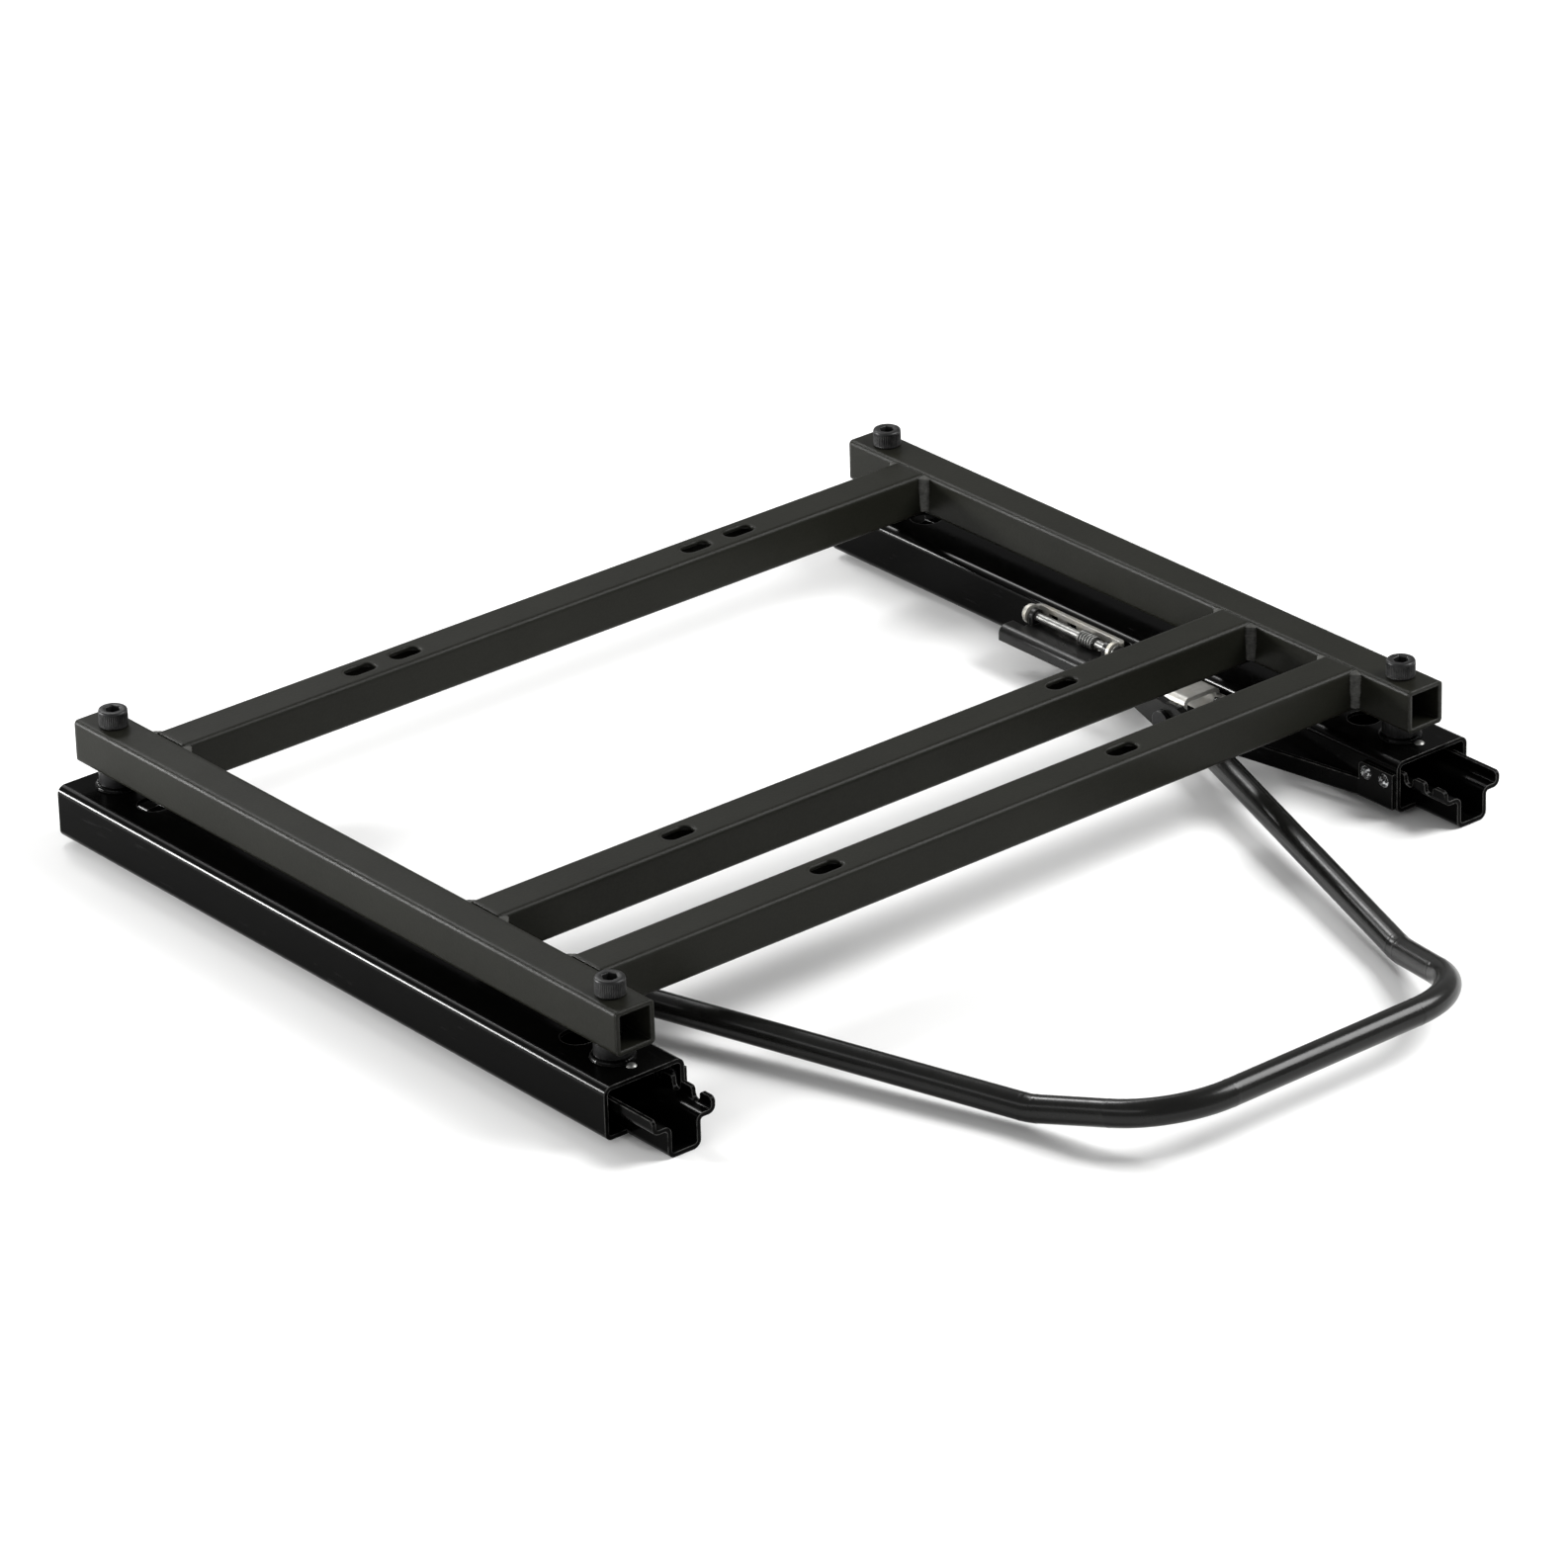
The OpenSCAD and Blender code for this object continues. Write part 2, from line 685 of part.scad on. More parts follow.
// Torsion spring on the pawl pin: one leg down against the lock plate, the other
// across the first tooth, which it presses into its notch
module lock_spring(side) {
    leg_down = 8.5;
    leg_over = 5.5;
    along = [0, -1, 0];
    first = coil_centre(180);
    last = coil_centre(180 - 360 * coil_turns);
    plate_leg = [upper_half + plate_t + wire_d / 2 + leg_gap, first[1], pin_z - leg_down];
    rings = concat(
        [ring(plate_leg, [-1, 0, 0], along)],
        [for (k = [0 : steps * coil_turns])
            let(a = 180 - k * 360 / steps) ring(coil_centre(a), coil_out(a), along)],
        [ring(last - [leg_over, 0, 0], [0, 0, -1], along)]
    );
    count = len(rings);
    points = [for (r = rings) each r];
    walls = [for (k = [0 : count - 2], i = [0 : sides - 1])
        let(j = (i + 1) % sides)
            [k * sides + i, k * sides + j, (k + 1) * sides + j, (k + 1) * sides + i]];
    start_cap = [[for (i = [sides - 1 : -1 : 0]) i]];
    end_cap = [[for (i = [0 : sides - 1]) (count - 1) * sides + i]];
    on_rail(side) polyhedron(points, concat(walls, start_cap, end_cap));
}

// Zinc-plated bracket on the rail wall, bridging out to the handle pivot
module handle_bracket(side) {
    back = upper_half;
    foot = upper_half + plate_t;
    fold_z = bracket_top - plate_t - fold_r;
    web_end = ear_x - plate_t - fold_r;
    on_rail(side) difference() {
        union() {
            along_y(pivot_y - bracket_foot_w / 2, pivot_y + bracket_foot_w / 2)
                flat([back, bracket_foot_low], [foot, fold_z]);
            along_y(pivot_y - bracket_w / 2, pivot_y + bracket_w / 2) {
                fold([foot + fold_r, fold_z], fold_r, plate_t, [-1, 1]);
                flat([foot + fold_r, bracket_top - plate_t], [web_end, bracket_top]);
                fold([web_end, fold_z], fold_r, plate_t, [1, 1]);
            }
            along_x(ear_x - plate_t, ear_x) {
                flat([pivot_y - bracket_w / 2, pivot_z], [pivot_y + bracket_w / 2, fold_z]);
                translate([pivot_y, pivot_z]) circle(d = bracket_w);
            }
        }
        rivet_bores();
        translate([foot + cut, pivot_y, pivot_z]) rotate([0, 90, 0])
            cylinder(d = pivot_d + 2 * seat_gap, h = ear_x - foot);
    }
}

// Strap in plan: its foot flat on the rail wall, bent out to the bracket's ear
module strap_plan() {
    from = upper_half;
    to = ear_x - 2 * plate_t;
    mitre = plate_t * tan(atan2(to - from, strap_eye_front - strap_bend) / 2);
    polygon([
        [from, strap_front], [from, strap_bend], [to, strap_eye_front],
        [to, pivot_y + strap_eye_r], [to + plate_t, pivot_y + strap_eye_r],
        [to + plate_t, strap_eye_front - mitre], [from + plate_t, strap_bend - mitre],
        [from + plate_t, strap_front]
    ]);
}

// Strap from the side, in Y and Z: a high foot for the rivets, a low bar and an eye
module strap_side() {
    neck = 17;
    foot_r = 2;
    foot_end = strap_bend - strap_inset;
    foot_top = bracket_rivet_z + rivet_head_d / 2 + rivet_end;
    flat([strap_front - cut, strap_low], [foot_end, foot_top - foot_r]);
    flat([strap_front - cut, foot_top - foot_r], [foot_end - foot_r, foot_top]);
    translate([foot_end - foot_r, foot_top - foot_r]) circle(foot_r);
    flat([strap_front, strap_low], [pivot_y - neck, strap_low + strap_h]);
    polygon([
        [pivot_y - neck, strap_low], [pivot_y, pivot_z - strap_eye_r],
        [pivot_y, pivot_z + strap_eye_r], [pivot_y - neck, strap_low + strap_h]
    ]);
    translate([pivot_y, pivot_z]) circle(strap_eye_r);
}

// Strap that braces the handle pivot from the front end of the rail
module handle_strap(side) {
    on_rail(side) difference() {
        intersection() {
            translate([0, 0, strap_low - cut]) linear_extrude(upper_h) strap_plan();
            along_x(upper_half - cut, ear_x) strap_side();
        }
        rivet_bores();
        translate([upper_half + plate_t + cut, pivot_y, pivot_z]) rotate([0, 90, 0])
            cylinder(d = pivot_d + 2 * seat_gap, h = ear_x - upper_half);
    }
}

// Handle pivot pin, riveted into the strap's eye and the bracket's ear
module handle_pin(side) {
    pin_head_d = pivot_d + 4;
    pin_head_h = 2;
    tail_h = 1.5;
    grip = 2 * plate_t + flat_t + 2 * side_gap;
    on_rail(side) translate([ear_x - 2 * plate_t, pivot_y, pivot_z]) rotate([0, 90, 0]) {
        cylinder(d = pivot_d, h = grip);
        translate([0, 0, grip]) cylinder(d = pin_head_d, h = pin_head_h);
        translate([0, 0, -tail_h]) cylinder(d = pin_tail_d, h = tail_h);
    }
}

// Bar of round section along a route of points, each corner bent to its own radius,
// with a slight swelling where a bend starts and ends
function unit(v) = v / norm(v);
function corner_angle(p, i) =
    acos(min(1, unit(p[i] - p[i - 1]) * unit(p[i + 1] - p[i])));
function corner_trim(p, r, i) =
    i == 0 || i == len(p) - 1 ? 0 : r[i] * tan(corner_angle(p, i) / 2);
module bent_bar(p, r, d) {
    swell = 0.1;
    for (i = [0 : len(p) - 2]) {
        way = unit(p[i + 1] - p[i]);
        start = p[i] + way * corner_trim(p, r, i);
        stop = p[i + 1] - way * corner_trim(p, r, i + 1);
        side_way = unit(cross(way, abs(way[2]) > 0.9 ? [1, 0, 0] : [0, 0, 1]));
        lift_way = cross(way, side_way);
        multmatrix([
            [side_way[0], lift_way[0], way[0], start[0]],
            [side_way[1], lift_way[1], way[1], start[1]],
            [side_way[2], lift_way[2], way[2], start[2]],
            [0, 0, 0, 1]
        ]) {
            cylinder(d = d, h = norm(stop - start));
            if (i > 0) sphere(d = d + 2 * swell);
            if (i < len(p) - 2) translate([0, 0, norm(stop - start)]) sphere(d = d + 2 * swell);
        }
    }
    for (i = [1 : len(p) - 2]) {
        way = unit(p[i] - p[i - 1]);
        axis = unit(cross(way, p[i + 1] - p[i]));
        out = cross(way, axis);
        centre = p[i] - way * corner_trim(p, r, i) - out * r[i];
        multmatrix([
            [out[0], way[0], axis[0], centre[0]],
            [out[1], way[1], axis[1], centre[1]],
            [out[2], way[2], axis[2], centre[2]],
            [0, 0, 0, 1]
        ]) rotate_extrude(angle = corner_angle(p, i)) translate([r[i], 0]) circle(d = d);
    }
}

// Outline in Y and Z of a flattened end: an eye round the pivot and a finger behind it
module flat_end_outline() {
    half = flat_h / 2;
    finger_top = finger_z + 3.8;
    nose_r = 1.9;
    translate([pivot_y, pivot_z]) circle(half);
    polygon([
        [pivot_y - arm_start, pivot_z - bar_d / 2], [pivot_y - half, pivot_z - half],
        [pivot_y, pivot_z - half], [pivot_y, pivot_z + half],
        [pivot_y - half, pivot_z + half], [pivot_y - arm_start, pivot_z + bar_d / 2]
    ]);
    polygon([
        [pivot_y, pivot_z - half], [pivot_y + half, pivot_z - half / 2],
        [pivot_y + finger_len * 0.7, finger_z], [pivot_y + finger_len - nose_r, finger_z],
        [pivot_y + finger_len - nose_r, finger_top], [pivot_y + half, finger_top],
        [pivot_y, pivot_z + half]
    ]);
    translate([pivot_y + finger_len - nose_r, finger_z + nose_r]) circle(nose_r);
}

// Wedges that press the round bar's right end down to its flat
module end_wedges() {
    taper_end = pivot_y - flat_h / 2;
    for (s = [-1, 1])
        translate([flat_x, 0, pivot_z - bar_d]) linear_extrude(2 * bar_d)
            polygon([[s * (flat_t / 2 - press_in), pivot_y], [s * (flat_t / 2 - press_in), taper_end],
                     [s * bar_d / 2, pivot_y - arm_start],
                     [s * bar_d, pivot_y - arm_start], [s * bar_d, pivot_y]]);
}

// Flattened right end of the handle, bored for its pivot pin
module flat_end() {
    difference() {
        along_x(flat_x - flat_t / 2, flat_x + flat_t / 2) flat_end_outline();
        translate([flat_x - flat_t, pivot_y, pivot_z]) rotate([0, 90, 0])
            cylinder(d = pivot_d + 2 * turn_gap, h = 2 * flat_t);
    }
}

module lower_rail_left() { color("#1c1c1d") lower_rail(left); }
module lower_rail_right() { color("#1c1c1d") lower_rail(right); }
module upper_rail_left() { color("#151516") upper_rail(left); }
module upper_rail_right() { color("#151516") upper_rail(right); }
module rollers_left() { color("#8f9296") rollers(left); }
module rollers_right() { color("#8f9296") rollers(right); }
module balls_left() { color("#b5b8bc") balls(left); }
module balls_right() { color("#b5b8bc") balls(right); }
module side_tube_left() { color("#3a3a38") side_tube(left); }
module side_tube_right() { color("#3a3a38") side_tube(right); }
module rear_cross_tube() { color("#3a3a38") cross_tube(rear_cross_y, [slot_narrow, slot_wide]); }
module middle_cross_tube() { color("#3a3a38") cross_tube(middle_cross_y, [slot_wide]); }
module front_cross_tube() { color("#3a3a38") cross_tube(front_cross_y, [slot_narrow]); }
module weld_beads() { color("#4a4a47") weld_bead_set(); }
module frame_screws() {
    color("#232324") at_screws() translate([0, 0, tube_top]) socket_screw(tube_w + boss_h + sheet / 2);
}
module frame_bosses() { color("#2a2a2b") at_screws() translate([0, 0, upper_top]) boss(); }
module stop_rivets() {
    color("#c4c6c8")
        for (side = [left, right])
            translate([side * rail_pitch / 2, stop_y, upper_top]) rivet(stop_d, sheet, 0.5);
}
module plate_rivets() {
    color("#aeb1b5")
        for (side = [left, right], p = wall_rivets)
            on_rail(side) translate([upper_half + plate_t, p[0], p[1]]) rotate([0, 90, 0])
                rivet(rivet_d, sheet + plate_t, 1);
}
module lock_plate_left() { color("#b9b7ad") lock_plate(left); }
module lock_plate_right() { color("#b9b7ad") lock_plate(right); }
module lock_pin_left() { color("#a3a6aa") lock_pin(left); }
module lock_pin_right() { color("#a3a6aa") lock_pin(right); }
module lock_pawl_left() { color("#1f1f20") lock_pawl(left); }
module lock_pawl_right() { color("#1f1f20") lock_pawl(right); }
module lock_spring_left() { color("#8c8f93") lock_spring(left); }
module lock_spring_right() { color("#8c8f93") lock_spring(right); }
module handle_bracket_left() { color("#b9b7ad") handle_bracket(left); }
module handle_bracket_right() { color("#b9b7ad") handle_bracket(right); }
module handle_strap_left() { color("#19191a") handle_strap(left); }
module handle_strap_right() { color("#19191a") handle_strap(right); }
module handle_pin_left() { color("#2b2b2c") handle_pin(left); }
module handle_pin_right() { color("#2b2b2c") handle_pin(right); }
module release_handle() {
    color("#1a1a1a") {
        difference() {
            bent_bar(handle_route, handle_radii, bar_d);
            end_wedges();
            mirror([1, 0, 0]) end_wedges();
        }
        flat_end();
        mirror([1, 0, 0]) flat_end();
    }
}

lower_rail_left();
lower_rail_right();
upper_rail_left();
upper_rail_right();
rollers_left();
rollers_right();
balls_left();
balls_right();
side_tube_left();
side_tube_right();
rear_cross_tube();
middle_cross_tube();
front_cross_tube();
weld_beads();
frame_screws();
frame_bosses();
stop_rivets();
plate_rivets();
lock_plate_left();
lock_plate_right();
lock_pin_left();
lock_pin_right();
lock_pawl_left();
lock_pawl_right();
lock_spring_left();
lock_spring_right();
handle_bracket_left();
handle_bracket_right();
handle_strap_left();
handle_strap_right();
handle_pin_left();
handle_pin_right();
release_handle();
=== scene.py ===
import json
import math

import bmesh
import bpy
from bpy.props import FloatProperty, FloatVectorProperty, IntProperty, PointerProperty
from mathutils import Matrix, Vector, noise


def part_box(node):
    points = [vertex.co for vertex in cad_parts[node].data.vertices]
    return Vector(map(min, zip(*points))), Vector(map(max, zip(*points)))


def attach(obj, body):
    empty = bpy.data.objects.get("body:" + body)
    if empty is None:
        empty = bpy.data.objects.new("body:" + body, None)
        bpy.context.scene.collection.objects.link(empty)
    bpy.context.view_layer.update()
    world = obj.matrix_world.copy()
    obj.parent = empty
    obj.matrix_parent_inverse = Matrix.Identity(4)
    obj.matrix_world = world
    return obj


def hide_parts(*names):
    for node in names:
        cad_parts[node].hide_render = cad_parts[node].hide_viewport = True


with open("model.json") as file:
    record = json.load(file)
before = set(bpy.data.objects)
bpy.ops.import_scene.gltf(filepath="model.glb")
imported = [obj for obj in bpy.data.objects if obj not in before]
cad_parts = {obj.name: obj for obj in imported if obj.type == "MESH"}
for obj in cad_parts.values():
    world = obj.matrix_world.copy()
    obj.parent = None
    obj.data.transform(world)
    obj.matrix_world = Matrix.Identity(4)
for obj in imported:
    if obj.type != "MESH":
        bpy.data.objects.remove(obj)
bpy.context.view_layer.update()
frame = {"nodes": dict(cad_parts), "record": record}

bl_info = {
    "name": "Seat Slide",
    "version": (1, 0, 0),
    "blender": (4, 5, 0),
    "location": "View3D > Sidebar > Seat Slide",
    "description": "Finishes and fine shapes of an adjustable seat slide on its packed solids",
    "category": "Object",
}

MM = 0.001
FULL_TURN, QUARTER_TURN = 2 * math.pi, math.pi / 2
SIDES = (("left", -1), ("right", 1))
CROSS_TUBES = ("rear_cross_tube", "middle_cross_tube", "front_cross_tube")
SOLID_HEAD_R = 6.5 * MM                               # radius of a screw head in the solids
RAIL_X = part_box("frame_screws")[1].x - SOLID_HEAD_R   # centre line of a rail
TUBE_LOW, TUBE_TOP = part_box("side_tube_right")[0].z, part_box("side_tube_right")[1].z
RAIL_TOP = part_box("upper_rail_right")[1].z
SHARP_ANGLE = math.radians(38)                        # edges that turn further stay sharp


# ---------------------------------------------------------------- settings

class SeatSlideSizes(bpy.types.PropertyGroup):
    """Sizes of the fine shapes that the solids leave plain."""

    weld_leg: FloatProperty(
        name="Weld Leg", description="Leg of a fillet weld in a tube corner",
        default=3.4 * MM, min=1 * MM, max=5 * MM, unit="LENGTH")
    weld_ripple: FloatProperty(
        name="Weld Ripple", description="Distance between two ripples of a weld",
        default=1.5 * MM, min=0.6 * MM, max=3 * MM, unit="LENGTH")
    head_d: FloatProperty(
        name="Head Diameter", description="Diameter of a frame screw's head",
        default=13 * MM, min=10 * MM, max=14 * MM, unit="LENGTH")
    head_h: FloatProperty(
        name="Head Height", description="Height of a frame screw's head",
        default=8 * MM, min=5 * MM, max=9 * MM, unit="LENGTH")
    socket_w: FloatProperty(
        name="Socket Width", description="Width across the flats of a screw's socket",
        default=6 * MM, min=4 * MM, max=8 * MM, unit="LENGTH")
    knurls: IntProperty(
        name="Knurls", description="Grooves round a screw's head",
        default=44, min=20, max=80)
    thread_pitch: FloatProperty(
        name="Thread Pitch", description="Pitch of a frame screw's thread",
        default=1.25 * MM, min=1 * MM, max=2 * MM, unit="LENGTH")
    boss_d: FloatProperty(
        name="Boss Diameter", description="Diameter of a threaded boss",
        default=16 * MM, min=14 * MM, max=17 * MM, unit="LENGTH")
    wire_d: FloatProperty(
        name="Spring Wire", description="Wire diameter of a lock spring",
        default=1.2 * MM, min=0.8 * MM, max=1.2 * MM, unit="LENGTH")
    spring_turns: IntProperty(
        name="Spring Turns", description="Turns of a lock spring", default=6, min=3, max=7)


class SeatSlideColours(bpy.types.PropertyGroup):
    """Colours of the finishes."""

    frame_coat: FloatVectorProperty(
        name="Frame Coat", description="Powder coat of the tubes",
        subtype="COLOR", size=3, min=0, max=1, default=(0.0092, 0.0093, 0.0070))
    rail_black: FloatVectorProperty(
        name="Rail Black", description="Gloss black of the rails",
        subtype="COLOR", size=3, min=0, max=1, default=(0.0012, 0.0012, 0.0011))
    handle_black: FloatVectorProperty(
        name="Handle Black", description="Half gloss black of the release bar",
        subtype="COLOR", size=3, min=0, max=1, default=(0.0070, 0.0070, 0.0064))
    screw_black: FloatVectorProperty(
        name="Screw Black", description="Black oxide of the screws",
        subtype="COLOR", size=3, min=0, max=1, default=(0.016, 0.016, 0.0163))
    pawl_black: FloatVectorProperty(
        name="Pawl Black", description="Half gloss black of the lock pawls",
        subtype="COLOR", size=3, min=0, max=1, default=(0.009, 0.009, 0.0086))
    weld_grey: FloatVectorProperty(
        name="Weld Grey", description="Thin coat on the weld beads",
        subtype="COLOR", size=3, min=0, max=1, default=(0.060, 0.060, 0.055))
    zinc: FloatVectorProperty(
        name="Zinc", description="Zinc plating of the lock plates and brackets",
        subtype="COLOR", size=3, min=0, max=1, default=(0.50, 0.492, 0.46))
    # also the colour of the plate rivets' chips, which are partly painted glints
    steel: FloatVectorProperty(
        name="Steel", description="Bare steel of the rollers and balls, and under chipped paint",
        subtype="COLOR", size=3, min=0, max=1, default=(0.60, 0.61, 0.62))
    dull_steel: FloatVectorProperty(
        name="Dull Steel", description="Oiled dull steel of the lock pins, springs and stop rivets",
        subtype="COLOR", size=3, min=0, max=1, default=(0.26, 0.26, 0.25))
    floor: FloatVectorProperty(
        name="Floor", description="Pale floor",
        subtype="COLOR", size=3, min=0, max=1, default=(0.90, 0.90, 0.895))


class SeatSlideStage(bpy.types.PropertyGroup):
    """Camera and light."""

    lens: FloatProperty(
        name="Lens", description="Focal length of the camera in millimetres",
        default=190.434, min=20, max=400)
    place: FloatVectorProperty(
        name="Camera Place", description="Where the camera stands",
        subtype="TRANSLATION", size=3, unit="LENGTH", default=(-2.05127, -2.50451, 1.60176))
    turn: FloatVectorProperty(
        name="Camera Turn", description="How the camera is turned",
        subtype="EULER", size=3, unit="ROTATION",
        default=(math.radians(64.0191), math.radians(1.4784), math.radians(-39.9165)))
    rear: FloatProperty(
        name="Rear Light",
        description="Power of the low light that draws the rails' edges in watts",
        default=68, min=0, max=400, unit="POWER")
    roof: FloatProperty(
        name="Roof Light",
        description="Power of the light that draws the rails' roofs in watts",
        default=9, min=0, max=400, unit="POWER")
    back: FloatProperty(
        name="Back Light",
        description="Power of the low light behind that draws the bar's arms in watts",
        default=7, min=0, max=400, unit="POWER")
    front: FloatProperty(
        name="Front Light",
        description="Power of the soft light that falls on the bar and the tubes' edges in watts",
        default=45, min=0, max=400, unit="POWER")
    side: FloatProperty(
        name="Side Light", description="Power of the long light at the side in watts",
        default=2, min=0, max=400, unit="POWER")
    far: FloatProperty(
        name="Far Light", description="Power of the wide light over the far floor in watts",
        default=26, min=0, max=400, unit="POWER")
    room: FloatProperty(
        name="Room Light", description="Strength of the even light of the room",
        default=0.38, min=0, max=2)


# ---------------------------------------------------------------- finishes

NOISE_LOW, NOISE_HIGH = 0.3, 0.7       # most of a noise lies between these
EDGE_SAMPLES = 6                       # rays that look for an edge
EDGE_PLAIN, EDGE_SHARP = 0.985, 0.80   # cosine of a turn that is no edge, and of a full edge
FOLD_FLAT, FOLD_ROUND = 0.005, 0.04    # squared lean of the sheet on a flat and on a full fold


def tint(colour, by=1.0):
    """Colour for a socket, made darker or paler."""
    return (colour[0] * by, colour[1] * by, colour[2] * by, 1.0)


class Finish:
    """Short hand for building one finish out of shader nodes."""

    def __init__(self, name):
        self.material = bpy.data.materials.new(name)
        self.material.use_nodes = True
        tree = self.material.node_tree
        self.nodes, self.links = tree.nodes, tree.links
        self.shader = next(n for n in self.nodes if n.type == "BSDF_PRINCIPLED")
        space = self.node("ShaderNodeTexCoord")
        self.place, self.facing = space.outputs["Object"], space.outputs["Normal"]

    def node(self, kind, **values):
        """A new node with these settings."""
        n = self.nodes.new(kind)
        for key, value in values.items():
            setattr(n, key, value)
        return n

    def put(self, socket, value):
        """Links an output to a socket, or sets a plain value on it."""
        if isinstance(value, bpy.types.NodeSocket):
            self.links.new(value, socket)
        else:
            socket.default_value = value

    def set(self, **values):
        """Feeds the shader's own sockets."""
        for key, value in values.items():
            self.put(self.shader.inputs[key.replace("_", " ")], value)

    def stretched(self, scale):
        """Object space, stretched along its axes."""
        n = self.node("ShaderNodeMapping")
        self.put(n.inputs["Vector"], self.place)
        n.inputs["Scale"].default_value = scale
        return n.outputs["Vector"]

    def grain(self, size, detail=3.0, rough=0.55, along=None):
        """Noise whose grains are about this many metres across."""
        n = self.node("ShaderNodeTexNoise")
        self.put(n.inputs["Vector"], along or self.place)
        n.inputs["Scale"].default_value = 1 / size
        n.inputs["Detail"].default_value = detail
        n.inputs["Roughness"].default_value = rough
        return n.outputs["Fac"]

    def mottle(self, size, detail, low=0.0, high=1.0):
        """Noise of this grain, spread from low to high."""
        return self.span(self.grain(size, detail), NOISE_LOW, NOISE_HIGH, low, high)

    def crystals(self, size):
        """Flat patches about this many metres across."""
        n = self.node("ShaderNodeTexVoronoi")
        self.put(n.inputs["Vector"], self.place)
        n.inputs["Scale"].default_value = 1 / size
        split = self.node("ShaderNodeSeparateColor")
        self.put(split.inputs[0], n.outputs["Color"])
        return split.outputs[0]

    def span(self, value, low, high, to_low=0.0, to_high=1.0):
        """Value between low and high, brought to between to_low and to_high."""
        n = self.node("ShaderNodeMapRange")
        for socket, v in zip(n.inputs, (value, low, high, to_low, to_high)):
            self.put(socket, v)
        return n.outputs[0]

    def math(self, operation, a, b):
        """Sum, product or the like of two values."""
        n = self.node("ShaderNodeMath", operation=operation)
        self.put(n.inputs[0], a)
        self.put(n.inputs[1], b)
        return n.outputs[0]

    def blend(self, share, a, b):
        """Colour a where share is 0, b where it is 1."""
        n = self.node("ShaderNodeMix", data_type="RGBA")
        self.put(n.inputs[0], share)
        self.put(n.inputs[6], a)
        self.put(n.inputs[7], b)
        return n.outputs[2]

    def shades(self, share, colour, dark, pale):
        """One colour from a darker to a paler shade of itself."""
        return self.blend(share, tint(colour, dark), tint(colour, pale))

    def over(self, body, mask, share, colour):
        """Body with this share of another colour laid over it where mask is 1."""
        return self.blend(self.math("MULTIPLY", mask, share), body, colour)

    def edge_wear_and_sheen(self, radius):
        """1 where the surface turns sharply within this radius, broken up by noise; it marks worn
        edges, and on the tubes also the pale edges that are a painted highlight.
        """
        plain = self.node("ShaderNodeNewGeometry")
        dot = self.node("ShaderNodeVectorMath", operation="DOT_PRODUCT")
        self.put(dot.inputs[0], self.soft_edge(radius))
        self.put(dot.inputs[1], plain.outputs["Normal"])
        sharp = self.span(dot.outputs["Value"], EDGE_PLAIN, EDGE_SHARP)
        broken = self.span(self.grain(4 * MM, 4), 0.30, 0.55)
        return self.math("MULTIPLY", sharp, broken)

    def folds(self):
        """1 on the folds along a rail, 0 on its flat walls."""
        split = self.node("ShaderNodeSeparateXYZ")
        self.put(split.inputs[0], self.facing)
        lean = self.math("MULTIPLY", split.outputs["X"], split.outputs["Z"])
        return self.span(self.math("MULTIPLY", lean, lean), FOLD_FLAT, FOLD_ROUND)

    def soft_edge(self, radius):
        """Normal that rounds the edges over this radius."""
        n = self.node("ShaderNodeBevel", samples=EDGE_SAMPLES)
        n.inputs["Radius"].default_value = radius
        return n.outputs["Normal"]

    def relief(self, height, depth, strength, under=None):
        """Bump of this depth in metres, on the plain surface or on another normal."""
        n = self.node("ShaderNodeBump")
        n.inputs["Strength"].default_value = strength
        n.inputs["Distance"].default_value = depth
        self.put(n.inputs["Height"], height)
        if under is not None:
            self.put(n.inputs["Normal"], under)
        return n.outputs["Normal"]


def frame_coat(colour):
    """Satin powder coat: fine orange peel, faint dust, and pale edges that are partly thin paint
    and partly a painted highlight.
    """
    f = Finish("frame_coat")
    dust = f.span(f.grain(0.9 * MM, 2), 0.35, 0.65)
    # pale edge colour: partly thin paint, partly a painted highlight along the tube edges
    thin_paint_and_highlight = tint((0.09, 0.09, 0.085))
    body = f.shades(f.mottle(45 * MM, 5), colour, 0.84, 1.16)
    body = f.over(body, dust, 0.35, tint(colour, 1.7))
    # the edges are laid over with the pale colour, partly as thin paint and partly as a painted
    # highlight
    body = f.over(body, f.edge_wear_and_sheen(1.1 * MM), 0.45, thin_paint_and_highlight)
    peel = f.relief(f.grain(1.3 * MM, 2), 0.05 * MM, 0.55, f.soft_edge(2.2 * MM))
    f.set(Base_Color=body, Roughness=f.mottle(20 * MM, 4, 0.31, 0.39),
          Specular_IOR_Level=0.10, Normal=peel)
    return f.material


def weld_grey(colour):
    """Weld metal under a thin coat, cloudy and finely pitted."""
    f = Finish("weld_grey")
    body = f.shades(f.mottle(3 * MM, 5), colour, 0.55, 1.25)
    pits = f.relief(f.grain(0.8 * MM, 3), 0.08 * MM, 0.5)
    f.set(Base_Color=body, Roughness=f.mottle(1.5 * MM, 3, 0.36, 0.52),
          Specular_IOR_Level=0.2, Normal=pits)
    return f.material


